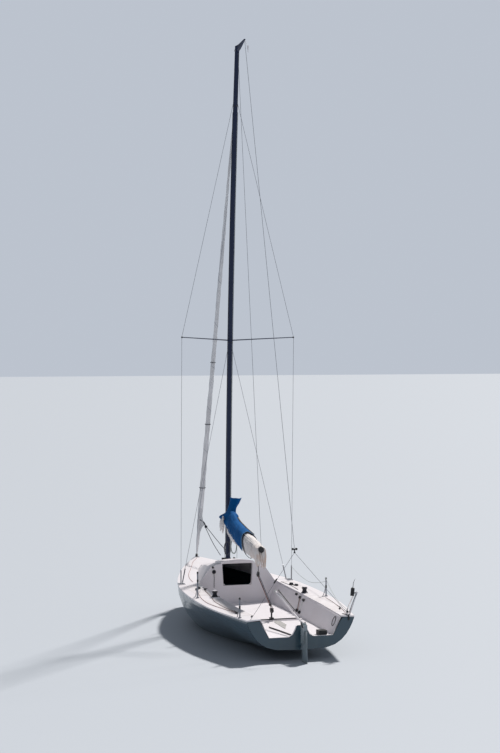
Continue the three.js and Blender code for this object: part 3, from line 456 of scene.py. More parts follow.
@dataclass
class Shape:
    """Vertices, faces and UVs that gather into one piece."""

    verts: list[Vector] = field(default_factory=list)
    faces: list[tuple[int, ...]] = field(default_factory=list)
    uvs: list[tuple[tuple[float, float], ...]] = field(default_factory=list)

    def grid(self, rows: Sequence[Sequence[Vector]], closed: bool = True, cap: bool = True) -> "Shape":
        """Adds a surface through rows of points.

        Args:
            rows: rings or lines with the same number of points.
            closed: whether each row joins up into a ring.
            cap: whether the first and last rings are filled.

        Returns:
            This shape.
        """
        base, count = len(self.verts), len(rows[0])
        runs = [0.0]
        for before, after in zip(rows, rows[1:]):
            runs.append(runs[-1] + (Vector(after[0]) - Vector(before[0])).length)
        self.verts += [Vector(p) for row in rows for p in row]
        for r in range(len(rows) - 1):
            for k in range(count if closed else count - 1):
                a, b = base + r * count + k, base + r * count + (k + 1) % count
                v0, v1 = k / count, (k + 1) / count
                self.faces.append((a, b, b + count, a + count))
                self.uvs.append(((runs[r], v0), (runs[r], v1), (runs[r + 1], v1), (runs[r + 1], v0)))
        if closed and cap:
            last = base + (len(rows) - 1) * count
            for start, turn in ((base, -1), (last, 1)):
                loop = tuple(start + k for k in range(count))[::turn]
                self.faces.append(loop)
                self.uvs.append(tuple((0.0, k / count) for k in range(count)))
        return self

    def tube(
        self,
        points: Sequence[Point | Vector],
        radius: float | Sequence[float],
        sides: int = 8,
        flat: float = 1.0,
        up: Point = (0, 0, 1),
        loop: bool = False,
    ) -> "Shape":
        """Adds a round or flattened bar along points.

        Args:
            points: the middle line.
            radius: one radius, or one for each point.
            sides: faces round the bar.
            flat: how high the bar is for its width.
            up: the side that the height is measured to.
            loop: whether the line joins up.

        Returns:
            This shape.
        """
        line = [Vector(p) for p in points]
        radii = [radius] * len(line) if isinstance(radius, (int, float)) else list(radius)
        rings = []
        side, high = None, None
        for i, p in enumerate(line):
            ahead = line[(i + 1) % len(line)] if loop else line[min(i + 1, len(line) - 1)]
            back = line[i - 1] if loop or i else line[0]
            along = (ahead - back).normalized()
            if side is None or flat != 1.0:
                side, high = cross_frame(along, Vector(up))
            else:
                side = (side - along * side.dot(along)).normalized()
                high = side.cross(along).normalized()
            ring = []
            for k in range(sides):
                a = (k + 0.5) / sides * math.tau
                ring.append(p + side * (math.cos(a) * radii[i]) + high * (math.sin(a) * radii[i] * flat))
            rings.append(ring)
        if loop:
            rings.append(rings[0])
        return self.grid(rings, cap=not loop)

    def lathe(
        self,
        base: Point | Vector,
        axis: Point | Vector,
        profile: Sequence[tuple[float, float]],
        sides: int = 24,
    ) -> "Shape":
        """Adds a turned shape.

        Args:
            base: the point that heights are measured from.
            axis: the way the heights run.
            profile: rows of radius and height.
            sides: faces round the shape.

        Returns:
            This shape.
        """
        along = Vector(axis).normalized()
        side, high = cross_frame(along, Vector((0.31, 0.2, 0.93)))
        rings = []
        for radius, height in profile:
            r = max(radius, 1e-4)
            rings.append(loop_points(Vector(base) + along * height, side * r, high * r, sides))
        return self.grid(rings)

    def block(
        self,
        centre: Point | Vector,
        size: Point,
        bevel: float = 0.003,
        axes: Matrix | None = None,
    ) -> "Shape":
        """Adds a block with chamfered edges, turned by axes when they are given."""
        turn = axes or Matrix.Identity(3)
        half = [s / 2 for s in size]
        bevel = min(bevel, *[h * 0.6 for h in half])

        def ring(inset: float, z: float) -> list[Vector]:
            a, b = half[0] - inset, half[1] - inset
            plan = [(a, b - bevel), (a - bevel, b), (bevel - a, b), (-a, b - bevel)]
            plan += [(-x, -y) for x, y in plan]
            return [Vector(centre) + turn @ Vector((x, y, z)) for x, y in plan]

        low, high = -half[2], half[2]
        levels = ((bevel, low), (0.0, low + bevel), (0.0, high - bevel), (bevel, high))
        return self.grid([ring(inset, z) for inset, z in levels])

    def ball(self, centre: Point | Vector, radius: float, sides: int = 14) -> "Shape":
        """Adds a turned knob that is round all over."""
        steps = sides // 2
        turn = [math.pi * f for f in shares(steps)]
        profile = [(radius * math.sin(a), -radius * math.cos(a)) for a in turn]
        return self.lathe(centre, UP, profile, sides)

    def finish(self, name: str, finish: Finish, body: str, sharp: float = 35.0) -> bpy.types.Object:
        """Makes the piece and rides it on its body.

        Args:
            name: the piece's name.
            finish: its finish.
            body: the body that it moves with.
            sharp: edges over this many degrees stay sharp.

        Returns:
            The piece.
        """
        made = self.bare(name, finish, sharp)
        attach(made, body)
        log.info("piece %s on %s: %d faces", name, body, len(made.data.polygons))
        return made

    def bare(
        self, name: str, finish: Finish, sharp: float = 35.0, open_sheet: bool = False
    ) -> bpy.types.Object:
        """Makes the piece's object with its material, on no body yet.

        Args:
            name: the object's name.
            finish: its finish.
            sharp: edges over this many degrees stay sharp.
            open_sheet: whether the faces keep the way they look instead of being turned out.

        Returns:
            The object.
        """
        mesh = bpy.data.meshes.new(name)
        mesh.from_pydata([tuple(v) for v in self.verts], [], self.faces)
        layer = mesh.uv_layers.new(name="UVMap")
        flat = [uv for face in self.uvs for uv in face]
        layer.data.foreach_set("uv", [c for uv in flat for c in uv])
        work = bmesh.new()
        work.from_mesh(mesh)
        bmesh.ops.remove_doubles(work, verts=work.verts, dist=1e-5)
        if not open_sheet:
            bmesh.ops.recalc_face_normals(work, faces=work.faces)
        work.to_mesh(mesh)
        work.free()
        mesh.shade_smooth()
        mesh.set_sharp_from_angle(angle=math.radians(sharp))
        mesh.materials.append(finish.material())
        made = put(name, mesh)
        return made

    def cloth(
        self, name: str, finish: Finish, body: str, thickness: float, smooth: bool = False
    ) -> tuple[bpy.types.Object, float]:
        """Makes an open sheet with a thickness, on its body.

        Args:
            name: the piece's name.
            finish: its finish.
            body: the body that it moves with.
            thickness: the cloth's thickness.
            smooth: whether the sheet is subdivided once.

        Returns:
            The piece and its area.
        """
        made = self.bare(name, finish, CLOTH_SHARP, open_sheet=True)
        thick = made.modifiers.new("cloth", "SOLIDIFY")
        thick.thickness, thick.offset = thickness, 0.0
        if smooth:
            finer = made.modifiers.new("smooth", "SUBSURF")
            finer.levels = finer.render_levels = 1
        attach(made, body)
        log.info("piece %s on %s: %d faces", name, body, len(made.data.polygons))
        return made, sum(p.area for p in made.data.polygons)


def curve_through(points: Sequence[Point | Vector], steps: int = 8) -> list[Vector]:
    """Points on a smooth curve through the given ones."""
    line = [Vector(p) for p in points]
    if len(line) < 3:
        return line
    out = []
    for i in range(len(line) - 1):
        p0, p1 = line[max(i - 1, 0)], line[i]
        p2, p3 = line[i + 1], line[min(i + 2, len(line) - 1)]
        for k in range(steps):
            t = k / steps
            a = 2 * p1 + (p2 - p0) * t
            b = (2 * p0 - 5 * p1 + 4 * p2 - p3) * t * t
            c = (3 * p1 - p0 - 3 * p2 + p3) * t**3
            out.append((a + b + c) * 0.5)
    return [*out, line[-1]]


def read_between(table: Sequence[Sequence[float]], at: float, column: int) -> float:
    """Reads a table's column, straight between its rows and level beyond them."""
    if at <= table[0][0]:
        return table[0][column]
    for low, high in zip(table, table[1:]):
        if at <= high[0]:
            t = (at - low[0]) / (high[0] - low[0])
            return low[column] + (high[column] - low[column]) * t
    return table[-1][column]


@dataclass
class Ground:
    """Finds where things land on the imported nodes."""

    trees: dict[str, BVHTree] = field(default_factory=dict)

    def tree(self, node: str) -> BVHTree:
        """The search tree of one node's mesh."""
        if node not in self.trees:
            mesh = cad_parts[node].data
            verts = [v.co.copy() for v in mesh.vertices]
            self.trees[node] = BVHTree.FromPolygons(verts, [tuple(p.vertices) for p in mesh.polygons])
        return self.trees[node]

    def drop(self, node: str, x: float, y: float, lift: float = 0.0, start: float = 3.0) -> Vector:
        """The highest point of a node under a place, raised by lift."""
        hit = self.tree(node).ray_cast(Vector((x, y, start)), Vector((0, 0, -1)))[0]
        if hit is None:
            hit = self.tree(node).find_nearest(Vector((x, y, 0.8)))[0]
        return hit + Vector((0, 0, lift))

    def lay(self, node: str, places: Sequence[tuple[float, float]], lift: float) -> list[Vector]:
        """A row of places dropped on a node."""
        return [self.drop(node, x, y, lift) for x, y in places]

    def wall(self, node: str, x: float, z: float, side: float, out: float = 0.0) -> tuple[Vector, Vector]:
        """Where a level line from the cockpit's middle meets a side, and the way it faces."""
        hit, normal, _, _ = self.tree(node).ray_cast(Vector((x, 0, z)), Vector((0, side, 0)))
        if hit is None:
            hit, normal, _, _ = self.tree(node).find_nearest(Vector((x, side * 0.72, z)))
        if normal.y * side > 0:
            normal = -normal
        return hit + normal * out, normal


GROUND = Ground()


def dress(finish: Finish, *nodes: str) -> None:
    """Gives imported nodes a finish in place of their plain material."""
    for name in nodes:
        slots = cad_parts[name].data.materials
        if not slots:
            slots.append(finish.material())
        for i in range(len(slots)):
            slots[i] = finish.material()


# Studio


@dataclass
class Studio:
    """The camera at the photograph's angle, a pale floor at the waterline and soft light."""

    camera_at: Point = (-32.005, 9.220, 5.264)
    yaw: float = math.radians(-16.352)
    pitch: float = math.radians(0.351)
    roll: float = math.radians(-0.279)
    lens: float = 79.54
    floor: Colour = (0.5, 0.54, 0.59)
    sky: Colour = (0.7, 0.76, 0.86)
    sky_lights: float = 0.3
    sky_seen: float = 0.72
    reach: float = 900.0

    def camera(self) -> None:
        """Makes the camera and asks for plain tones."""
        level = Vector((math.cos(self.yaw), math.sin(self.yaw), 0))
        ahead = level * math.cos(self.pitch) - UP * math.sin(self.pitch)
        right = level.cross(UP)
        up = right.cross(ahead)
        c, n = math.cos(self.roll), math.sin(self.roll)
        across, high = right * c + up * n, up * c - right * n
        data = bpy.data.cameras.new("view")
        data.lens = self.lens
        data.clip_start, data.clip_end = 0.5, 4000
        made = put("view", data)
        turn = Matrix((across, high, -ahead)).transposed().to_4x4()
        made.matrix_world = Matrix.Translation(self.camera_at) @ turn
        bpy.context.scene.camera = made
        bpy.context.scene.view_settings.view_transform = "Standard"

    def lights(self) -> None:
        """A key light from ahead to starboard, a weak broad fill and a pale surround."""
        # Columns: name, way to the light, strength, width in degrees, colour
        for name, way, power, angle, tone in (
            ("key", (0.643, -0.766, 1.35), 4.0, 5.0, (1.0, 0.96, 0.92)),
            ("fill", (-0.7, 0.5, 0.8), 0.1, 50.0, (0.85, 0.92, 1.0)),
        ):
            data = bpy.data.lights.new(name, "SUN")
            data.energy = power
            data.angle = math.radians(angle)
            data.color = tone
            made = put(name, data)
            made.rotation_mode = "QUATERNION"
            made.rotation_quaternion = Vector(way).to_track_quat("Z", "Y")
        world = bpy.data.worlds.new("surround")
        world.use_nodes = True
        background = world.node_tree.nodes["Background"]
        background.inputs[0].default_value = (*self.sky, 1)
        tree = Tree(world.node_tree)
        seen = tree.add("ShaderNodeLightPath").outputs["Is Camera Ray"]
        strength = tree.ramp(seen, 0.0, 1.0, self.sky_lights, self.sky_seen)
        world.node_tree.links.new(strength, background.inputs[1])
        bpy.context.scene.world = world

    def ground(self) -> None:
        """The floor at the waterline."""
        corners = [(x * self.reach, y * self.reach, 0) for x, y in ((-1, -1), (1, -1), (1, 1), (-1, 1))]
        mesh = bpy.data.meshes.new("floor")
        mesh.from_pydata(corners, [], [(0, 1, 2, 3)])
        material = bpy.data.materials.new("floor")
        material.use_nodes = True
        shader = material.node_tree.nodes["Principled BSDF"]
        shader.inputs["Base Color"].default_value = (*self.floor, 1)
        shader.inputs["Roughness"].default_value = 0.6
        mesh.materials.append(material)
        put("floor", mesh)

    def build(self) -> None:
        """Makes the whole studio."""
        self.camera()
        self.lights()
        self.ground()


# Hull and deck


@dataclass
class HullDress:
    """The hull's finishes and the white capping round the cut-out in the transom."""

    cap_half: float = 0.02
    sill: float = 0.425
    foot: float = 0.6
    rim: float = 0.752
    face: float = -3.738

    def dress(self) -> None:
        """Gives the hull's nodes their finishes."""
        dress(TOPSIDES, "hull_shell", "transom")
        dress(KEEL, "keel_fin", "keel_bulb")
        dress(DECK, "deck", "coachroof", "cabin_bulkhead", "cockpit_sole", "companionway_hatch")
        dress(DECK, "cockpit_side_port", "cockpit_side_starboard", "traveller_ridge")

    def capping(self) -> None:
        """White lip over the edge of the transom's cut-out."""
        # Half width and height: down from the deck's corner, in along the sill, up at the middle
        outline = [(0.765, 0.767), (self.rim + 0.006, 0.752), (self.foot + 0.004, self.sill + 0.006)]
        outline += [(0.235, self.sill + 0.006), (0.158, 0.474), (0.11, 0.564), (0.092, 0.62)]
        shape = Shape()
        for _, side in SIDES:
            line = [Vector((self.face, y * side, z)) for y, z in outline]
            shape.tube(line, self.cap_half, 8, flat=0.35, up=(0, side, 1))
        shape.finish("transom_capping", DECK, HULL)

    def build(self) -> None:
        """Dresses and adds to the hull."""
        self.dress()
        self.capping()


# Sails


@dataclass
class BoomLine:
    """The boom's middle line, and places given along, out to port and up from it."""

    pivot: Vector = field(default_factory=lambda: Vector((0.99, 0.0, 1.93)))
    end: Vector = field(default_factory=lambda: Vector((-2.5, 0.36, 1.86)))
    half_wide: float = 0.046
    half_high: float = 0.064

    def axes(self) -> tuple[Vector, Vector, Vector]:
        """Unit directions aft along the boom, out to port and up."""
        aft = (self.end - self.pivot).normalized()
        port = aft.cross(UP).normalized()
        return aft, port, port.cross(aft).normalized()

    def at(self, s: float, port: float = 0.0, high: float = 0.0) -> Vector:
        """A point s aft of the pivot, out to port and up."""
        aft, side, up = self.axes()
        return self.pivot + aft * s + side * port + up * high


SPAR_LINE = BoomLine()


@dataclass
class Mainsail:
    """The flaked mainsail over the boom, its hanging leech folds, its lashings and its cover."""

    # Columns: distance aft, top, half width, port drop and starboard drop
    flakes: tuple = (
        (0.085, 0.42, 0.085, 0.19, 0.09),
        (0.47, 0.33, 0.105, 0.22, 0.11),
        (0.87, 0.24, 0.125, 0.255, 0.13),
        (1.47, 0.185, 0.13, 0.29, 0.14),
        (2.37, 0.145, 0.125, 0.31, 0.17),
        (3.02, 0.095, 0.112, 0.3, 0.23),
        (3.455, 0.06, 0.095, 0.26, 0.33),
    )
    # Cover's lower edge: distance aft, height over the boom's middle line
    hem: tuple = ((0.1, 0.15), (0.4, 0.08), (0.9, 0.02), (1.3, -0.03), (1.8, -0.1), (2.2, -0.17))
    span: tuple[float, float] = (0.09, 3.46)
    cover_from: float = 0.47
    cover_to: float = 2.1
    cover_off: float = 0.012
    # Stretch of the starboard edge without stitches: the shroud lies here when the boom is right out
    bare_hem: tuple[float, float] = (1.1, 1.46)

    def outer(self, s: float, angle: float, off: float = 0.0) -> Vector:
        """A point on the bundle's outside; the angle runs from port over the top to starboard."""
        top, half, port, starboard = (read_between(self.flakes, s, k) for k in (1, 2, 3, 4))
        c, n = math.cos(angle), math.sin(angle)
        drop = starboard + (port - starboard) * (c + 1) / 2
        return SPAR_LINE.at(s, c * (half + off), n * ((top if n > 0 else drop) + off))

    def fold(self, s: float, angle: float) -> float:
        """How far the cloth stands out in folds: soft hanging folds that deepen downwards."""
        down = max(0.0, math.cos(angle) ** 2) * (1.0 if math.sin(angle) < 0.45 else 0.55)
        lean = s * 34.0 + 1.7 * math.sin(angle * 1.3) + 2.0 * noise.noise(Vector((s * 2.3, angle * 0.8, 3.1)))
        deep = 1.0 + 0.9 * max(0.0, (s - 2.0) / 1.5)
        ripple = (math.sin(lean) * 0.011 + math.sin(lean * 1.9 + 1.0) * 0.006) * deep
        layers = math.sin(angle * 21.0 + 2.5 * noise.noise(Vector((s * 1.4, 0.5, 0.2)))) * 0.0035
        broad = noise.noise(Vector((s * 3.0, angle * 1.5, 7.7))) * 0.014
        return ripple * down + layers + broad

    def bundle(self) -> None:
        """The pile of folded cloth over the boom, open along the underside."""
        rows = []
        start, stop = self.span
        wide, high = SPAR_LINE.half_wide, SPAR_LINE.half_high
        # How far each lower edge comes round under the boom, as an angle
        tuck = 1.12
        turn = [(math.pi + 2 * tuck) * g - tuck for g in shares(84)]
        inner = [math.pi * (1.18 - 1.36 * g) for g in shares(12)]
        for i, f in enumerate(shares(170)):
            s = start + (stop - start) * f
            # Folds die out at the after end and start half grown at the mast
            grown = min(1.0, (1 - f) * 9.0, 0.55 + i / 14)
            row = [self.outer(s, a, -0.014 + self.fold(s, a) * grown) for a in turn]
            rows.append(row + [SPAR_LINE.at(s, math.cos(a) * wide, math.sin(a) * high) for a in inner])
        made = Shape().grid(rows).finish("mainsail_folds", SAIL, BOOM, CLOTH_SHARP)
        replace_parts(made, "flaked_mainsail")

    def leech(self) -> None:
        """Folds of the leech that hang from the after end of the pile."""
        shape = Shape()
        # Columns: out to port, top and bottom over the boom's line, width, how far aft it stands
        table = (
            (0.072, 0.02, -0.27, 0.03, 3.43),
            (0.043, 0.0, -0.31, 0.026, 3.455),
            (0.012, -0.06, -0.3, 0.026, 3.45),
            (-0.02, -0.07, -0.33, 0.028, 3.46),
            (-0.052, 0.0, -0.37, 0.03, 3.44),
            (-0.082, 0.02, -0.34, 0.03, 3.4),
        )
        for n, (port, top, low, wide, s) in enumerate(table):
            rows = []
            for f in shares(14):
                swell = 0.5 + 0.5 * math.sin(min(f * 1.35, 1.0) * math.pi * 0.62)
                half = 0.62 * wide * (0.4 + 0.75 * swell) * (1.0 if f < 0.93 else 0.6)
                aft = s - 0.03 * f * f
                out = port * (1 + 0.2 * f) + 0.008 * math.sin(f * 5 + n * 1.9)
                high = top + (low - top) * f
                ring = []
                for a in angles(18):
                    back = aft + 0.028 * math.sin(a) * swell
                    pinch = math.cos(a) * (1 + 0.35 * math.cos(2 * a + n))
                    sag = 0.012 * math.sin(a + n)
                    ring.append(SPAR_LINE.at(back, out + half * pinch, high - sag))
                rows.append(ring)
            shape.grid(rows)
        made = shape.finish("leech_folds", SAIL, BOOM, CLOTH_SHARP)

    def hem_angle(self, s: float, side: float) -> float:
        """Angle at which the cover's lower edge meets the bundle on a side."""
        high = read_between(self.hem, s, 1)
        reach = read_between(self.flakes, s, 1 if high > 0 else (3 if side > 0 else 4))
        angle = math.asin(max(-0.86, min(0.97, high / reach)))
        return angle if side > 0 else math.pi - angle

    def cover_row(self, s: float, count: int, off: float, tail: float) -> list[Vector]:
        """One line across the cover, from its port edge to its starboard edge."""
        a0, a1 = self.hem_angle(s, 1), self.hem_angle(s, -1)
        row = []
        for k, f in enumerate(shares(count - 1)):
            a = a0 + (a1 - a0) * f
            crease = math.sin(s * 9 + a * 2.6) * 0.006 + noise.noise(Vector((s * 3.5, a * 1.6, 1.3))) * 0.012
            free = 1 - min(1.0, min(k, count - 1 - k) / 5)
            # The starboard side lies flatter, clear of the shroud when the boom is right out
            crumple, flare = (1.0, 0.012) if 2 * k < count else (0.5, -0.008)
            back = s + 0.13 * tail**3 * (1 - math.sin(a))
            lift = off + 0.006 + abs(crease) * crumple + free * flare
            row.append(self.outer(back, a, lift + self.fold(s, a) * 0.35))
        return row

    def collar_rows(self, count: int) -> list[list[Vector]]:
        """Lines across the collar that stands up the mast's after side, from the top down."""
        # Rows from the top down; columns from port to starboard
        keys = (
            (
                (0.93, -0.01, 2.57), (0.86, -0.04, 2.56), (0.82, -0.1, 2.56),
                (0.83, -0.17, 2.55), (0.87, -0.23, 2.56),
            ),
            (
                (0.94, 0.0, 2.47), (0.87, -0.02, 2.47), (0.82, -0.07, 2.46),
                (0.82, -0.13, 2.46), (0.86, -0.18, 2.46),
            ),
            (
                (0.95, 0.03, 2.36), (0.88, 0.01, 2.36), (0.81, -0.02, 2.37),
                (0.8, -0.07, 2.36), (0.85, -0.11, 2.35),
            ),
            (
                (0.97, 0.08, 2.26), (0.9, 0.08, 2.27), (0.76, 0.02, 2.31),
                (0.75, -0.06, 2.28), (0.86, -0.11, 2.22),
            ),
            (
                (0.96, 0.22, 2.18), (0.86, 0.15, 2.2), (0.69, 0.05, 2.3),
                (0.68, -0.07, 2.26), (0.8, -0.12, 2.1),
            ),
            (
                (0.88, 0.18, 2.11), (0.78, 0.13, 2.15), (0.6, 0.06, 2.27),
                (0.59, -0.08, 2.22), (0.7, -0.12, 2.03),
            ),
        )
        lines = [curve_through(key, 12) for key in keys]
        return [[line[round(k * (len(line) - 1) / (count - 1))] for k in range(count)] for line in lines]

    def cover(self) -> None:
        """The blue cover: one sheet from the collar over the forward part of the pile."""
        count, steps, between = 41, 60, 7
        keys = self.collar_rows(count)
        reach = self.cover_to - self.cover_from
        tail = [self.cover_row(self.cover_from + reach * f, count, self.cover_off, f) for f in shares(steps)]
        guides = [*keys, tail[0], tail[4]]
        columns = [curve_through([row[k] for row in guides], between) for k in range(count)]
        head = [[columns[k][i] for k in range(count)] for i in range(len(keys) * between)]
        rows = head + tail
        shape = Shape().grid(rows, closed=False, cap=False)
        made, area = shape.cloth("sail_cover_cloth", COVER, BOOM, 0.002, smooth=True)
        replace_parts(made, "sail_cover")
        hem = Shape()
        port, starboard = ([row[k] for row in rows] for k in (0, -1))
        for line, radius in ((port, 0.0045), (starboard, 0.0045), (rows[-1], 0.006), (rows[0], 0.005)):
            hem.tube(line, radius, 6)
        hem.finish("cover_hem", COVER_HEM, BOOM)

    def girth(self, shift: float) -> list[Vector]:
        """A line round the pile, parallel to the cover's after edge."""
        line = []
        for f in shares(44):
            a = -1.05 + (math.pi + 2.1) * f
            lean = 0.22 * max(0.0, 0.5 - 0.5 * math.sin(a)) ** 0.8 * (1 if math.cos(a) > 0 else 0.75)
            line.append(self.outer(self.cover_to + 0.02 + shift + lean, a, 0.014))
        return line

    def lashings(self) -> None:
        """Two thin lashings round the pile and the dark strap along the cover."""
        shape = Shape()
        for shift in (0.075, 0.13):
            line = self.girth(shift)
            under = SPAR_LINE.at((line[0] - SPAR_LINE.pivot).length, 0.0, -0.3)
            shape.tube(curve_through([*line, under, line[0]], 2), 0.0045, 6)
        shape.finish("sail_lashings", ROPE_DARK, BOOM)
        line = [self.outer(0.62 + 1.5 * f, 2.05 + 0.36 * f, 0.03) for f in shares(30)]
        Shape().tube(line, 0.017, 8, flat=0.45).finish("cover_strap", BLACK, BOOM)

    def stitches(self) -> None:
        """Short stitches along the cover's two edges."""
        unit = Shape().tube([(-0.5, 0, 0.1), (-0.2, 0, 0.22), (0.2, 0, 0.22), (0.5, 0, 0.1)], 0.14, 5)
        places = []
        for side in (1, -1):
            for f in shares(57):
                s = 0.56 + 1.5 * f
                if side < 0 and self.bare_hem[0] < s < self.bare_hem[1]:
                    continue
                at = self.outer(s, self.hem_angle(s, side) + 0.16 * side, 0.04)
                places.append((at, at - SPAR_LINE.at(s), 0.012))
        REPEATS.set("cover_stitches", unit, places, ROPE_WHITE, BOOM, spin=0.3)

    def luff(self) -> None:
        """Pale folds of the sail's luff that hang to port of the mast under the cover."""
        shape = Shape()
        # Columns: station, out to port, top, bottom, half width
        folds = (
            (0.86, 0.17, 2.2, 1.84, 0.062),
            (0.79, 0.2, 2.16, 1.9, 0.055),
            (0.92, 0.2, 2.13, 1.88, 0.045),
        )
        for n, (x, y, top, low, wide) in enumerate(folds):
            rows = []
            for f in shares(12):
                half = wide * math.sin(math.pi * (0.12 + 0.8 * f))
                centre = Vector((x + 0.02 * f, y, top + (low - top) * f))
                ring = []
                for a in angles(16):
                    pinch = 1 + 0.3 * math.cos(3 * a + n)
                    ring.append(centre + Vector((half * math.cos(a) * pinch, 0.5 * half * math.sin(a), 0)))
                rows.append(ring)
            shape.grid(rows)
        made = shape.finish("luff_folds", SAIL, BOOM, CLOTH_SHARP)

    def build(self) -> None:
        """Makes the whole mainsail."""
        self.bundle()
        self.leech()
        self.cover()
        self.lashings()
        self.stitches()
        self.luff()


@dataclass
class Headsail:
    """The headsail rolled round the forestay, its ties, drum and sheets."""

    eye: Vector = field(default_factory=lambda: Vector((3.69, 0.0, 1.058)))
    hounds: Vector = field(default_factory=lambda: Vector((0.418, 0.0, 10.57)))
    # Columns: height, radius of the roll
    roll: tuple = (
        (1.14, 0.018), (1.36, 0.033), (1.67, 0.042), (1.88, 0.056),
        (2.3, 0.062), (3.55, 0.055), (7.5, 0.042), (10.1, 0.02),
    )
    winding: float = 1.15
    tied_at: tuple[float, ...] = (2.62, 4.02, 5.35)
    knot: Point = (2.87, 0.0, 1.79)
    tip: Point = (2.95, 0.0, 1.8)
    drum_at: float = 1.066
    drum_turns: int = 6

    def stay(self, z: float) -> Vector:
        """The forestay's middle at a height."""
        return self.eye.lerp(self.hounds, (z - self.eye.z) / (self.hounds.z - self.eye.z))

    def cloth(self) -> None:
        """The roll, with the edge of its outer turn winding up it."""
        rows = []
        low, high = self.roll[0][0], self.roll[-1][0]
        for share in shares(260):
            z = low + (high - low) * share
            radius = read_between(self.roll, z, 1)
            centre = self.stay(z)
            ring = []
            for turn in angles(40):
                a = turn + z * self.winding
                crease = 0.0045 * math.sin(z * 17 + 3 * math.sin(a)) * math.sin(a * 2 + z * 3)
                crease += 0.006 * noise.noise(Vector((math.cos(a), math.sin(a), z * 2.4)))
                step = 0.93 + 0.09 * turn / math.tau
                r = min(radius * step - 0.003 + crease * min(1.0, radius / 0.04), radius)
                ring.append(centre + Vector((math.cos(a) * r, math.sin(a) * r, 0)))
            rows.append(ring)
        made = Shape().grid(rows).finish("headsail_roll", JIB, HULL, 70)
        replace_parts(made, "furled_jib")

    def ties(self) -> None:
        """Dark ties round the roll and the sheets' knot at the clew."""
        shape = Shape()
        for z in self.tied_at:
            r = read_between(self.roll, z, 1) + 0.004
            ring = loop_points(self.stay(z), Vector((r, 0, 0.15 * r)), Vector((0, r, 0)), 20)
            shape.tube(ring, 0.007, 6, loop=True)
        shape.ball(self.knot, 0.034, 10)
        shape.tube(curve_through([self.stay(1.9), (3.1, -0.01, 1.87), self.knot]), 0.014, 8)
        shape.finish("headsail_ties", ROPE_DARK, HULL)

    def clew(self) -> None:
        """The corner of the sail that stands out of the roll."""
        rows = []
        for f in shares(8):
            back = self.stay(2.2 - 0.75 * f)
            reach = 0.98 * max(0.0, 1 - abs(f - 0.45) / 0.55)
            rows.append([back.lerp(Vector(self.tip), reach * g) for g in shares(6)])
        shape = Shape().grid(rows, closed=False, cap=False)
        made, area = shape.cloth("headsail_clew", JIB, HULL, 0.006)
        area = max(area, 0.3 * 0.45)

    def sheets(self) -> None:
        """The two sheets from the clew to the foot of the mast."""
        shape = Shape()
        for side in (-1, 1):
            foot = GROUND.drop("coachroof", 1.33, side * 0.1, 0.12)
            start = Vector((2.86, side * 0.015, 1.78))
            middle = start.lerp(foot, 0.5) - UP * (0.025 + 0.012 * side)
            shape.tube(curve_through([start, middle, foot], 10), 0.007, 8)
        shape.finish("headsail_sheets", ROPE_DARK, HULL)

    def drum(self) -> None:
        """The furling drum with its flanges and its line."""
        along = (self.hounds - self.eye).normalized()
        side, high = cross_frame(along, Vector((1, 0, 0)))
        foot = self.stay(self.drum_at)
        shape = Shape()
        shape.lathe(foot, along, [(0.011, -0.006), (0.011, 0.002), (0.014, 0.005), (0.03, 0.007)], 16)
        flange = [(0.0315, 0.008), (0.032, 0.011), (0.03, 0.014), (0.016, 0.016)]
        core = [(0.016, 0.038), (0.03, 0.04), (0.032, 0.043), (0.0315, 0.047), (0.012, 0.05), (0.009, 0.062)]
        shape.lathe(foot, along, [*flange, *core], 28)
        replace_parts(shape.finish("furling_drum", BLACK, HULL), "furler_drum")
        points = []
        for f in shares(72):
            a = f * self.drum_turns * math.tau
            out = side * math.cos(a) + high * math.sin(a)
            points.append(foot + along * (0.019 + 0.016 * f) + out * 0.02)
        Shape().tube(points, 0.003, 6).finish("furling_line", ROPE_DARK, HULL)

    def build(self) -> None:
        """Makes the whole headsail."""
        dress(WIRE, "forestay")
        self.cloth()
        self.ties()
        self.clew()
        self.sheets()
        self.drum()


# Repeats


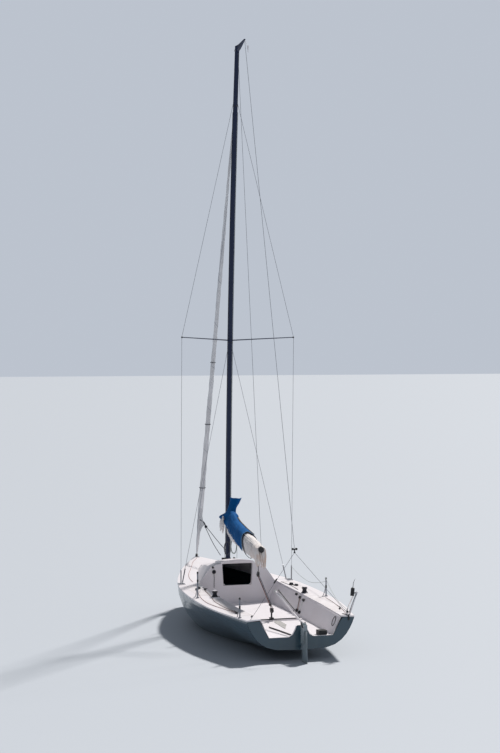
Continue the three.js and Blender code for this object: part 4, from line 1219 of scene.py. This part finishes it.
@dataclass
class Repeats:
    """Sets one small shape on many places through a geometry node tree, and bakes the result."""

    seed: int = 7
    group: bpy.types.NodeTree | None = None
    sockets: dict[str, str] = field(default_factory=dict)

    def tree(self) -> bpy.types.NodeTree:
        """Builds the node tree once: points, turned and scaled instances, real mesh, material."""
        if self.group:
            return self.group
        group = bpy.data.node_groups.new("repeats", "GeometryNodeTree")
        face = group.interface
        rows = (("Points", "NodeSocketGeometry"), ("Unit", "NodeSocketObject"), ("Spin", "NodeSocketFloat"))
        rows += (("Seed", "NodeSocketInt"), ("Material", "NodeSocketMaterial"))
        for label, kind in rows:
            made = face.new_socket(name=label, in_out="INPUT", socket_type=kind)
            self.sockets[label] = made.identifier
        face.new_socket(name="Mesh", in_out="OUTPUT", socket_type="NodeSocketGeometry")
        tree = Tree(group)
        inner = group.nodes.new("NodeGroupInput").outputs
        outer = group.nodes.new("NodeGroupOutput")
        unit = tree.add("GeometryNodeObjectInfo", {"Object": inner["Unit"]})
        way = tree.add("GeometryNodeInputNamedAttribute", {"Name": "way"}, data_type="FLOAT_VECTOR")
        size = tree.add("GeometryNodeInputNamedAttribute", {"Name": "size"}, data_type="FLOAT")
        face_out = tree.add("FunctionNodeAlignRotationToVector", {"Vector": way.outputs[0]}, axis="Z")
        spin = tree.add("FunctionNodeRandomValue", {"Seed": inner["Seed"]}, data_type="FLOAT")
        turn = tree.maths("MULTIPLY", spin.outputs[1], inner["Spin"])
        twist = tree.add("FunctionNodeAxisAngleToRotation", {"Angle": turn})
        both = tree.add(
            "FunctionNodeRotateRotation",
            {0: face_out.outputs[0], 1: twist.outputs[0]},
            rotation_space="LOCAL",
        )
        placed = tree.add(
            "GeometryNodeInstanceOnPoints",
            {
                "Points": inner["Points"],
                "Instance": unit.outputs["Geometry"],
                "Rotation": both.outputs[0],
                "Scale": size.outputs[0],
            },
        )
        real = tree.add("GeometryNodeRealizeInstances", {0: placed.outputs[0]})
        dressed = tree.add("GeometryNodeSetMaterial", {0: real.outputs[0], "Material": inner["Material"]})
        group.links.new(dressed.outputs[0], outer.inputs[0])
        self.group = group
        return group

    def set(
        self,
        name: str,
        unit: Shape,
        places: Sequence[tuple[Vector, Vector, float]],
        finish: Finish,
        body: str,
        spin: float = math.tau,
    ) -> bpy.types.Object:
        """Sets a unit shape on every place.

        Args:
            name: the piece's name.
            unit: the shape, standing on the origin with its own Z outwards.
            places: rows of point, outward direction and scale.
            finish: the piece's finish.
            body: the body it rides on.
            spin: how far a copy may be turned about its own Z.

        Returns:
            The piece.
        """
        group = self.tree()
        source = unit.bare(name + "_unit", finish)
        mesh = bpy.data.meshes.new(name + "_places")
        mesh.from_pydata([tuple(p) for p, _, _ in places], [], [])
        way = mesh.attributes.new("way", "FLOAT_VECTOR", "POINT")
        way.data.foreach_set("vector", [c for _, w, _ in places for c in Vector(w).normalized()])
        size = mesh.attributes.new("size", "FLOAT", "POINT")
        size.data.foreach_set("value", [s for _, _, s in places])
        holder = put(name + "_holder", mesh)
        modifier = holder.modifiers.new("repeats", "NODES")
        modifier.node_group = group
        values = {"Unit": source, "Spin": spin, "Seed": self.seed, "Material": finish.material()}
        for label, value in values.items():
            modifier[self.sockets[label]] = value
        baked = bpy.data.meshes.new_from_object(holder.evaluated_get(bpy.context.evaluated_depsgraph_get()))
        baked.name = name
        for spent in (holder, source):
            bpy.data.objects.remove(spent, do_unlink=True)
        made = put(name, baked)
        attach(made, body)
        log.info("piece %s on %s: %d copies", name, body, len(places))
        return made


REPEATS = Repeats()


def screw_head() -> Shape:
    """A countersunk screw head one unit across, with a cross recess."""
    profile = [(0.46, 0.0), (0.5, 0.18), (0.5, 0.26), (0.4, 0.38), (0.2, 0.43), (0.0, 0.44)]
    shape = Shape().lathe((0, 0, -0.2), UP, profile, 10)
    for turn in (0.0, math.pi / 2):
        shape.block((0, 0, 0.235), (0.5, 0.1, 0.03), 0.01, Matrix.Rotation(turn, 3, "Z"))
    return shape


def bolt_head() -> Shape:
    """A hexagon bolt head one unit across, over its washer."""
    shape = Shape().lathe((0, 0, 0), UP, [(0.62, -0.05), (0.62, 0.06), (0.55, 0.1)], 16)
    return shape.lathe((0, 0, 0.08), UP, [(0.5, 0.0), (0.5, 0.26), (0.43, 0.36), (0.0, 0.38)], 6)


# Deck fittings


def cord_piece(name: str, finish: Finish, route: Sequence[Point | Vector], diameter: float) -> None:
    path = curve_through(route, 6)
    made = Shape().tube(path, diameter / 2, 8).finish(name, finish, HULL)


@dataclass
class DeckGear:
    """Non-slip panels, winches, tracks, cleats, compass and the ropes that lie on the deck."""

    winch_at: tuple[float, float] = (-1.2, 0.905)
    compass_at: Point = (0.3997, 0.491, 1.118)
    compass_radius: float = 0.04
    margin: float = 0.1
    # Columns: station, half the deck's width
    beam: tuple = ((-3.73, 1.0), (-2.5, 1.2), (-1.0, 1.325), (0.5, 1.26), (1.5, 1.05), (2.6, 0.66))
    # Columns: station, out to port, turn
    cleats_at: tuple = ((-0.37, 0.88, 0.3), (-3.01, 0.99, 0.2), (-3.05, -0.98, -0.2))
    # Columns: station, out to port
    posts_at: tuple = ((-1.12, 1.225), (-3.42, 1.045), (-1.56, -1.225))

    def panels(self) -> None:
        """Thin non-slip panels on the side decks, a hand's width in from the edges."""
        for name, side in SIDES:
            shape = Shape()
            # Columns: forward end, after end, inner and outer edge where they run straight
            for start, stop, inner, outer in ((0.28, -0.95, 0.895, 1.17), (-1.42, -3.3, None, math.inf)):
                rows = []
                for f in shares(16):
                    x = start + (stop - start) * f
                    low = inner or 0.79 - 0.07 * (-1.42 - x) / 1.9
                    high = min(outer, read_between(self.beam, x, 1) - self.margin)
                    inset = 0.03 if f in (0, 1) else 0.0
                    row = [low + inset + (high - low - 2 * inset) * g for g in shares(10)]
                    rows.append([GROUND.drop("deck", x, side * y, 0.0012) for y in row])
                shape.grid(rows, closed=False, cap=False)
            made = shape.bare("nonslip_" + name, NONSLIP, open_sheet=True)
            self.face_up(made)
            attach(made, HULL)
            log.info("piece %s on %s: %d faces", made.name, HULL, len(made.data.polygons))

    @staticmethod
    def face_up(made: bpy.types.Object) -> None:
        """Turns the faces of a panel that look down."""
        work = bmesh.new()
        work.from_mesh(made.data)
        bmesh.ops.reverse_faces(work, faces=[f for f in work.faces if f.normal.z < 0])
        work.to_mesh(made.data)
        work.free()

    def winches(self) -> None:
        """Two winches: pale base ring, waisted drum, crown and pale cap."""
        x, reach = self.winch_at
        foot = [(0.067, -0.004), (0.067, 0.008), (0.062, 0.016), (0.055, 0.019), (0.05, 0.03)]
        waist = [(0.0425, 0.042), (0.04, 0.06), (0.0425, 0.078), (0.052, 0.09)]
        lip = [(0.057, 0.096), (0.058, 0.103), (0.052, 0.109)]
        crown = [(0.044, 0.108), (0.044, 0.118), (0.038, 0.122), (0.014, 0.123), (0.013, 0.11), (0.0, 0.11)]
        for name, side in SIDES:
            base = GROUND.drop("deck", x, side * reach)
            drum = Shape().lathe(base, UP, [*foot, *waist, *lip, *crown], 40)
            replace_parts(drum.finish("winch_drum_" + name, ALLOY, HULL, 30), "winch_" + name)
            rings = Shape().lathe(base, UP, [(0.085, -0.004), (0.083, 0.004), (0.07, 0.007)], 36)
            rings.lathe(base, UP, [(0.046, 0.119), (0.045, 0.128), (0.03, 0.132), (0.0, 0.133)], 28)
            rings.finish("winch_rings_" + name, DECK, HULL, 30)

    def tracks(self) -> None:
        """Finish of the headsail tracks, the screws beside them and those round the stanchions."""
        dress(ALLOY, "genoa_track_port", "genoa_track_starboard")
        places = []
        for _, side in SIDES:
            for i in range(7):
                x, y = -0.11 - 0.04 * i, 0.9 + 0.026 * i
                for out in (-0.035, 0.035):
                    places.append((GROUND.drop("deck", x, side * (y + out)), UP, 0.009))
        for x, y in self.posts_at:
            for a in (0.6, 2.2, 3.8, 5.4):
                at = GROUND.drop("deck", x + 0.03 * math.cos(a), y + 0.03 * math.sin(a))
                places.append((at, UP, 0.008))
        REPEATS.set("deck_screws", screw_head(), places, STEEL, HULL)

    def compass(self) -> None:
        """The bulkhead compass: bezel, dome, a small instrument over it and its cable."""
        x, y, z = self.compass_at
        r = self.compass_radius
        aft = Vector((-1, 0, 0))
        profile = [(r, 0.0), (r, 0.012), (r * 0.93, 0.02), (r * 0.8, 0.022), (r * 0.78, 0.014)]
        made = Shape().lathe((x, y, z), aft, profile, 36).finish("compass_bezel", BLACK, HULL, 30)
        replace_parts(made, "compass")
        profile = [(r * 0.78, 0.0), (r * 0.7, 0.014), (r * 0.45, 0.026), (0.0, 0.03)]
        Shape().lathe((x - 0.008, y, z), aft, profile, 28).finish("compass_dome", ALLOY, HULL, 60)
        profile = [(0.022, 0), (0.022, 0.01), (0.018, 0.014), (0.0, 0.014)]
        Shape().lathe((x, y + 0.022, z + 0.09), aft, profile, 20).finish("bulkhead_gauge", BLACK, HULL)
        route = [(x - 0.006, y, z - r), (x - 0.01, y - 0.004, 0.98), (x - 0.006, y, 0.8)]
        Shape().tube(curve_through(route, 8), 0.0045, 8).finish("compass_cable", BLACK, HULL)

    def cleats(self) -> None:
        """Horn cleats on the port deck and both quarters."""
        shape = Shape()
        for x, y, turn in self.cleats_at:
            at = GROUND.drop("deck", x, y)
            way = Vector((math.cos(turn), math.sin(turn), 0))
            shape.block(at + UP * 0.006, (0.06, 0.03, 0.014), 0.003, Matrix.Rotation(turn, 3, "Z"))
            rise = ((-0.075, 0.04), (-0.03, 0.03), (0.03, 0.03), (0.075, 0.04))
            horns = [at + way * s + UP * h for s, h in rise]
            shape.tube(curve_through(horns, 4), 0.009, 10, flat=0.75)
            for s in (-0.02, 0.02):
                shape.tube([at + way * s, at + way * s * 1.15 + UP * 0.03], 0.009, 8)
        shape.finish("deck_cleats", BLACK, HULL)

    def ropes(self) -> None:
        """The sheets and control lines that lie on both side decks and the foredeck."""
        tan, red, dark = ROPE_TAN, ROPE_RED, ROPE_DARK
        sheet = ((-0.42, 0.9), (-0.6, 0.92), (-1.16, 0.97), (-1.6, 1.03), (-1.92, 1.04))
        sheet += ((-2.49, 1.02), (-2.85, 0.96))
        guy = ((-0.55, 1.08), (-0.9, 1.13), (-1.14, 1.17), (-1.4, 1.19), (-1.7, 1.2))
        guy += ((-2.0, 1.17), (-2.3, 1.12), (-2.65, 1.05), (-2.95, 0.98))
        short = ((0.2, -0.86), (-0.1, -0.9), (-0.35, -0.92), (-0.8, -0.9))
        quarter = ((-1.75, -1.15), (-2.2, -1.12), (-2.7, -1.06), (-3.1, -1.01))
        quarter += ((-3.45, -0.94), (-3.62, -0.88))
        ahead = ((3.45, 0.06), (3.0, 0.26), (2.5, 0.42), (2.0, 0.58), (1.5, 0.74), (1.0, 0.84), (0.6, 0.88))
        for name, finish, size, places in (
            ("port_sheet_tail", tan, 0.009, sheet),
            ("port_guy_tail", red, 0.008, guy),
            ("starboard_sheet_tail", dark, 0.008, short),
            ("quarter_line", tan, 0.008, quarter),
            ("foredeck_line", red, 0.007, ahead),
        ):
            cord_piece(name, finish, GROUND.lay("deck", places, size / 2 + 0.001), size)

    def build(self) -> None:
        """Makes everything on the deck."""
        self.panels()
        self.winches()
        self.tracks()
        self.compass()
        self.cleats()
        self.ropes()


@dataclass
class Cockpit:
    """The sole's pads and bars, the traveller, the mainsheet and the tackles on the sides."""

    track_x: float = -1.95
    sheet_top: Point = (-2.19, 0.335, 1.36)
    # The hatched pad's port and starboard edges, each from ahead to aft
    pad_edges: tuple = (((-2.12, 0.0), (-2.9, 0.03)), ((-1.72, -0.15), (-2.44, -0.14)))
    # Columns: station, height, radius
    blocks_at: tuple = (
        (-1.05, 0.8, 0.028), (-1.3, 0.77, 0.03), (-1.55, 0.75, 0.03),
        (-1.38, 0.53, 0.034), (-1.56, 0.52, 0.034),
    )

    def sole_gear(self) -> None:
        """Hatched pad, dark bar and motor pad."""
        rows = []
        for f in shares(8):
            a, b = (Vector(first).lerp(Vector(last), f) for first, last in self.pad_edges)
            line = [a.lerp(b, g) for g in shares(6)]
            top = [GROUND.drop("cockpit_sole", p.x, p.y, 0.007) for p in line]
            low = [GROUND.drop("cockpit_sole", p.x, p.y, 0.0004) for p in reversed(line)]
            rows.append([*top, *low])
        Shape().grid(rows).finish("sole_pad", GREY_MESH, HULL)
        bar = GROUND.lay("cockpit_sole", ((-2.68, 0.27), (-3.1, 0.2), (-3.63, 0.13)), 0.014)
        Shape().tube(bar, 0.012, 10).finish("sole_bar", BLACK, HULL)
        dress(RUBBER, "sill_pad")

    def traveller(self) -> None:
        """The traveller's finishes, the car's sheaves and its cam."""
        dress(ALLOY, "traveller_track")
        dress(BLACK, "traveller_car", "mainsheet_block")
        car = Vector((self.track_x, 0, 0.66))
        sheave = [(0.034, -0.004), (0.034, 0.0), (0.03, 0.004), (0.0, 0.005)]
        shape = Shape()
        for side in (-1, 1):
            shape.lathe(car + Vector((-0.005, side * 0.024, 0)), (0, side, 0), sheave, 24)
        shape.block(car + Vector((-0.07, 0, -0.01)), (0.05, 0.034, 0.05), 0.005)
        shape.tube([car + Vector((-0.05, 0, 0.01)), car + Vector((-0.13, 0, 0.035))], 0.007, 8)
        shape.finish("traveller_swivel", BLACK, HULL)

    def sides(self) -> None:
        """Blocks on both cockpit sides, the lines between those to starboard and an inspection ring."""
        shape = Shape()
        for name, side in SIDES:
            for x, z, r in self.blocks_at:
                at, normal = GROUND.wall("cockpit_side_" + name, x, z, side)
                inner = [(r, -0.002), (r, 0.012), (r * 0.8, 0.016)]
                outer = [(r * 0.8, 0.026), (r, 0.03), (r * 0.9, 0.036), (0.0, 0.037)]
                shape.lathe(at, normal, [*inner, *outer], 18)
        shape.finish("side_blocks", BLACK, HULL)
        wall = "cockpit_side_starboard"
        # Columns: station and height of the upper end, then of the lower end
        lines = (
            (-1.3, 0.75, -1.38, 0.55, ROPE_WHITE),
            (-1.33, 0.75, -1.42, 0.55, ROPE_RED),
            (-1.55, 0.73, -1.56, 0.55, ROPE_WHITE),
        )
        for k, (x0, z0, x1, z1, finish) in enumerate(lines):
            ends = [GROUND.wall(wall, x, z, -1, 0.022)[0] for x, z in ((x0, z0), (x1, z1))]
            Shape().tube(ends, 0.0055, 8).finish(f"side_tackle_{k}", finish, HULL)
        centre, normal = GROUND.wall(wall, -3.53, 0.64, -1, 0.002)
        along, up = cross_frame(normal, UP)
        ring = loop_points(centre, along * 0.07, up * 0.085, 40)
        Shape().tube(ring, 0.008, 8, loop=True).finish("inspection_ring", ALLOY, HULL)

    def sheet(self) -> None:
        """The mainsheet's parts from the car towards the boom; they stay with the car."""
        top = Vector(self.sheet_top)
        foot = Vector((self.track_x, 0.0, 0.7))
        for name, finish, along, across in (
            ("mainsheet_parts", ROPE_DARK, -0.03, -0.01),
            ("mainsheet_part_red", ROPE_RED, 0.0, 0.012),
            ("mainsheet_part_aft", ROPE_DARK, 0.03, -0.006),
        ):
            a, b = (end + Vector((along, across, 0)) for end in (foot, top))
            made = Shape().tube([a.lerp(b, f) for f in shares(16)], 0.0055, 8).finish(name, finish, HULL)
            if name == "mainsheet_parts":
                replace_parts(made, "mainsheet_fall")
        blocks = Shape()
        for at, r in ((top, 0.036), (foot.lerp(top, 0.1), 0.03)):
            for side in (-1, 1):
                cheek = [(r, -0.004), (r, 0.0), (r * 0.86, 0.005), (0.0, 0.006)]
                blocks.lathe(at + Vector((0, side * 0.016, 0)), (0, side, 0), cheek, 24)
            blocks.tube([at + Vector((0, y, 0)) for y in (-0.019, 0.019)], 0.008, 10)
        blocks.finish("mainsheet_sheaves", BLACK, HULL)

    def build(self) -> None:
        """Makes everything in the cockpit."""
        self.sole_gear()
        self.traveller()
        self.sides()
        self.sheet()


# Rigging, rails and steering


@dataclass
class Rigging:
    """The wires' finishes, the halyards and their hanks, the bridle's tackle and the masthead."""

    leg_head: Vector = field(default_factory=lambda: Vector((-3.385, 0.0, 1.894)))
    leg_foot: Vector = field(default_factory=lambda: Vector((-3.7, 0.93, 0.79)))
    halyard_span: tuple[float, float] = (1.42, 10.4)
    # The mast's middle line: station at the waterline, rake and bend
    mast_line: tuple[float, float, float] = (1.141, 0.01966, 0.00504)
    mast_foot: float = 1.28
    mast_height: float = 10.43
    spreaders: float = 5.8
    hounds: float = 10.57
    crane: float = 11.66

    def mast_at(self, z: float) -> float:
        """The mast's middle station at a height."""
        station, rake, bend = self.mast_line
        return station - rake * z - bend * z * z

    def leg(self, side: float, f: float) -> Vector:
        """A point on a bridle leg, a share of the way down it."""
        at = self.leg_head.lerp(self.leg_foot, f)
        return Vector((at.x, at.y * side, at.z))

    def wires(self) -> None:
        """Finishes of the wires and metal fittings."""
        dress(WIRE, "backstay", "topping_lift", "forestay")
        for part in ("upper_shroud_top_", "upper_shroud_", "lower_shroud_", "bridle_leg_"):
            dress(WIRE, *[part + name for name, _ in SIDES])
        dress(STEEL, "chainplate_port", "chainplate_starboard", "bow_fitting", "mast_step", "gooseneck")
        dress(BLACK, "bridle_block", "boom_end_cap")

    def bridle(self) -> None:
        """Dark tackles on the bridle's legs, their shackles at the deck and the block's pins."""
        shape = Shape()
        radii = [0.007, 0.013, 0.014, 0.011, 0.014, 0.013, 0.007]
        for side, start, stop in ((1, 0.4, 0.475), (-1, 0.955, 0.985), (1, 0.955, 0.985)):
            shape.tube([self.leg(side, start + (stop - start) * f) for f in shares(6)], radii, 10)
        for y, z, radius in ((0.034, 1.956, 0.008), (-0.034, 1.956, 0.008), (0.0, 1.894, 0.006)):
            shape.lathe((-3.3985, y, z), (-1, 0, 0), [(radius, -0.002), (radius, 0.003), (0.0, 0.004)], 12)
        shape.finish("bridle_tackles", BLACK, HULL)

    def halyards(self) -> None:
        """Halyards up both sides of the mast and the blocks at its foot."""
        low, high = self.halyard_span
        runs = ((0.0, 1, ROPE_DARK), (-0.02, -1, ROPE_GREEN), (0.02, -1, ROPE_DARK))
        for n, (ahead, side, finish) in enumerate(runs):
            path = []
            for f in shares(30):
                z = low + (high - low) * f
                half = 0.048 - 0.004 * (z - self.mast_foot) / self.mast_height
                path.append((self.mast_at(z) + ahead, side * (half + 0.0065), z))
            Shape().tube(path, 0.0045, 6).finish(f"halyard_{n}", finish, HULL)
        feet = Shape()
        sheave = [(0.024, 0), (0.026, 0.004), (0.026, 0.02), (0.024, 0.024)]
        places = ((1.2, 0.07), (1.2, -0.07), (1.0, 0.09), (1.0, -0.1), (1.08, 0.125), (1.08, -0.135))
        for base in GROUND.lay("coachroof", places, 0.0):
            feet.block(base + UP * 0.006, (0.05, 0.03, 0.014), 0.003)
            feet.lathe(base + Vector((0, -0.012, 0.036)), (0, 1, 0), sheave, 18)
        feet.finish("mast_foot_blocks", BLACK, HULL)

    def hanks(self) -> None:
        """Halyard tails coiled and hung by the foot of the mast."""
        # Columns: name, finish, middle of the coil, half its width and half its height
        for name, finish, (x, y, z), wide, high in (
            ("halyard_hank_green", ROPE_GREEN, (1.0, -0.09, 1.56), 0.06, 0.15),
            ("halyard_hank_dark", ROPE_DARK, (0.985, 0.06, 1.52), 0.055, 0.13),
        ):
            out = math.copysign(1.0, y)
            top = z + high
            route = [Vector((self.mast_at(top) - 0.03, y - out * 0.05, top + 0.012))]
            route.append(Vector((x + 0.022, y - out * 0.026, top + 0.006)))
            for k in range(77):
                turns = k / 18
                a = turns * math.tau
                wider = 1 + 0.06 * math.sin(a * 0.31)
                across, rise = out * wide * math.sin(a), high * math.cos(a) * wider
                route.append(Vector((x - 0.013 * turns, y + across, z + rise)))
            end = route[-1]
            low = GROUND.drop("coachroof", end.x, end.y, 0.004)
            route += [end.lerp(low, share) for share in (0.25, 0.5, 0.75, 1.0)]
            cord_piece(name, finish, route, 0.008)

    def masthead(self) -> None:
        """Pins in the masthead crane and the pale vane behind it."""
        shape = Shape()
        x = self.mast_at(self.crane) + 0.012
        for side in (-1, 1):
            shape.lathe((x, side * 0.0445, 11.62), (0, side, 0), [(0.02, 0), (0.02, 0.006), (0.0, 0.008)], 20)
        shape.finish("masthead_pins", STEEL, HULL)
        stem = curve_through([(-0.32, 0, 11.73), (-0.42, 0, 11.66), (-0.53, 0, 11.56)], 6)
        vane = Shape().tube(stem, 0.004, 6)
        corners = ((-0.49, 11.585), (-0.595, 11.565), (-0.555, 11.43))
        vane.grid([[Vector((cx, y, cz)) for cx, cz in corners] for y in (-0.003, 0.003)])
        vane.finish("masthead_vane", DECK, HULL)

    def spreader_tips(self) -> None:
        """Boots where the spreaders meet the shrouds, bands round the mast and its rivets."""
        shape = Shape()
        for _, side in SIDES:
            shape.ball((0.25, side * 1.166, 5.85), 0.019, 14)
        for z in (self.spreaders, self.hounds):
            centre = Vector((self.mast_at(z), 0, z - 0.05))
            band = loop_points(centre, Vector((0.064, 0, 0)), Vector((0, 0.0485, 0)), 32)
            shape.tube(band, 0.004, 6, loop=True)
        shape.finish("spreader_boots", BLACK, HULL)
        places = []
        for z in (5.74, 5.86, 10.5, 10.62, 2.05, 1.82):
            for side in (-1, 1):
                for ahead in (-0.02, 0.02):
                    at = Vector((self.mast_at(z) + ahead, side * (0.0475 - 0.0004 * z), z))
                    places.append((at, Vector((0, side, 0)), 0.011))
        REPEATS.set("mast_rivets", screw_head(), places, STEEL, HULL)

    def slides(self) -> None:
        """Sail slides in the mast's after groove above the cover."""
        unit = Shape().block((0, 0, 0.5), (1.0, 0.5, 1.0), 0.12).block((0, 0, 1.1), (0.5, 0.3, 0.4), 0.08)
        heights = [2.68 + 0.055 * i for i in range(9)]
        places = [(Vector((self.mast_at(z) - 0.061, 0, z)), Vector((-1, 0, 0.04)), 0.022) for z in heights]
        REPEATS.set("mast_slides", unit, places, BLACK, HULL, spin=0.0)

    def build(self) -> None:
        """Makes the rigging's details."""
        self.wires()
        self.bridle()
        self.halyards()
        self.hanks()
        self.masthead()
        self.spreader_tips()
        self.slides()


@dataclass
class Rails:
    """Stanchions, slack lifelines and the rail on the starboard quarter with its holder."""

    holder: tuple = ((-3.665, -1.0, 1.105), (-3.65, -1.02, 1.235))
    corner: Point = (-3.7, -1.078, 1.165)
    posts_at: tuple = (
        ("stanchion_port_middle", -1.12, 1.225),
        ("stanchion_port_quarter", -3.42, 1.045),
        ("stanchion_starboard_middle", -1.56, -1.225),
    )

    def posts(self) -> None:
        """Finishes the stanchions and caps them."""
        cap = [(0.0155, 0.0), (0.0175, 0.004), (0.0175, 0.03), (0.011, 0.038), (0.0, 0.039)]
        collar = [(0.0145, 0.0), (0.0165, 0.003), (0.0165, 0.05), (0.0145, 0.053)]
        caps = Shape()
        for post, x, y in self.posts_at:
            dress(DARK_STEEL, post)
            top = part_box(post)[1][2]
            caps.lathe((x, y, top - 0.034), UP, cap, 16)
            caps.lathe((x, y, top - 0.2), UP, collar, 16)
        caps.finish("stanchion_caps", BLACK, HULL)

    def lifelines(self) -> None:
        """Slack lines from the stanchions."""
        starboard = ((0.44, -1.165, 1.16), (-0.01, -1.2, 1.03), (-0.6, -1.21, 0.97))
        starboard += ((-1.2, -1.215, 1.03), (-1.54, -1.21, 1.1))
        quarter = ((-1.58, -1.21, 1.17), (-1.75, -1.2, 1.08), (-2.1, -1.17, 0.95), (-2.6, -1.12, 0.84))
        quarter += ((-3.1, -1.07, 0.8), (-3.5, -1.0, 0.79))
        port = ((-1.11, 1.2, 1.15), (-0.85, 1.12, 1.04), (-0.5, 1.0, 0.92), (-0.3, 0.95, 0.89))
        for name, route in (("starboard", starboard), ("quarter", quarter), ("port", port)):
            cord_piece(name + "_lifeline", ROPE_WHITE, route, 0.009)

    def stern(self) -> None:
        """Finish of the stern rail, a dark tube of painted shade over one leg, its dark holder with a whip,
        its knob and the strap by it.
        """
        dress(STEEL, "stern_rail")
        low, high = (Vector(p) for p in self.holder)
        way = (high - low).normalized()
        cup = [(0.033, -0.004), (0.035, 0.004), (0.035, 0.12)]
        cup += [(0.031, 0.14), (0.02, 0.148), (0.006, 0.15)]
        dark = Shape().lathe(low, way, cup, 24)
        dark.tube([high + way * 0.01, high + way * 0.1, (-3.69, -1.05, 1.41)], [0.006, 0.005, 0.0025], 8)
        dark.finish("rail_holder", BLACK, HULL)
        # Painted shade: a dark tube laid over the rail's leg where that leg falls in shade.
        grip = Shape().tube([(-3.557, -0.989, 0.79), (-3.697, -1.076, 1.155)], 0.0148, 14)
        grip.finish("rail_sleeve", DARK_STEEL, HULL)
        Shape().ball(self.corner, 0.021, 16).finish("rail_knob", DECK, HULL)
        edge = GROUND.lay("deck", ((-3.58, -0.84), (-3.66, -0.865), (-3.72, -0.885)), 0.004)
        path = curve_through([*edge, (-3.757, -0.895, 0.765), (-3.76, -0.9, 0.68)], 6)
        Shape().tube(path, 0.016, 8, flat=0.25, up=(-1, 0, 1)).finish("corner_strap", BLACK, HULL)

    def build(self) -> None:
        """Makes the rails' details."""
        self.posts()
        self.lifelines()
        self.stern()


@dataclass
class Steering:
    """The rudder head's bolts and fork, and the extension's knob."""

    knob: Point = (-2.44, 0.0705, 1.074)

    def build(self) -> None:
        """Finishes the steering gear and adds its small pieces."""
        dress(RUDDER_COAT, "rudder_blade", "rudder_head")
        dress(BLACK, "gudgeon_upper", "gudgeon_lower", "tiller_extension")
        dress(DECK, "tiller")
        places = []
        for z in (0.38, 0.47, 0.58, 0.65):
            for side in (-1, 1):
                for x in (-3.86, -3.96):
                    places.append((Vector((x, side * 0.03, z)), Vector((0, side, 0)), 0.014))
        REPEATS.set("rudder_bolts", bolt_head(), places, STEEL, RUDDER)
        Shape().ball(self.knob, 0.024, 16).finish("tiller_knob", ROPE_WHITE, RUDDER)
        fork = Shape()
        for side in (-1, 1):
            prong = [(-3.86, side * 0.036, 0.7), (-3.9, side * 0.038, 0.66), (-3.95, side * 0.036, 0.62)]
            fork.tube(prong, 0.014, 10, flat=0.5)
        fork.finish("rudder_fork", BLACK, RUDDER)


@dataclass
class Companionway:
    """The opening's rim and the painted liner inside the cabin."""

    face: float = 0.397
    # Half width and height of the opening's corners, top and bottom
    top: tuple[float, float] = (0.3135, 1.262)
    sill: tuple[float, float] = (0.29, 0.838)
    liner_height: float = 0.62

    def rim(self) -> None:
        """A thin dark seal round the opening in the bulkhead."""
        (a, high), (b, low) = self.top, self.sill
        corners = [(self.face, y, z) for y, z in ((a, high), (b, low), (-b, low), (-a, high))]
        Shape().tube(curve_through(corners, 1), 0.004, 6).finish("companionway_seal", RUBBER, HULL)

    def liner(self) -> None:
        """Painted inside of the hull as far as it shows through the opening."""
        rows = []
        for f in shares(14):
            centre = Vector((0.5 + 1.35 * f, 0, self.liner_height))
            outer, inner = [], []
            for g in shares(24):
                a = math.radians(-8 + 196 * g)
                way = Vector((0, math.cos(a), -math.sin(a)))
                hit = GROUND.tree("hull_shell").ray_cast(centre, way)[0]
                reach = (hit - centre).length - 0.012
                outer.append(centre + way * reach)
                inner.append(centre + way * (reach - 0.003))
            rows.append([*outer, *reversed(inner)])
        Shape().grid(rows).finish("cabin_liner", CABIN, HULL)

    def build(self) -> None:
        """Finishes the opening."""
        self.rim()
        self.liner()


def main() -> None:
    """Builds every sub-assembly in order."""
    logging.basicConfig(level=logging.INFO, format="%(message)s")
    for group in (weather_group, grip_group, weave_group, lay_group):
        group()
    Studio().build()
    HullDress().build()
    Mainsail().build()
    Headsail().build()
    for part in (DeckGear, Cockpit, Rigging, Rails, Steering, Companionway):
        part().build()
    dress(SPAR, "mast", "masthead_crane", "spreader_port", "spreader_starboard", "boom")


if __name__ == "__main__":
    main()
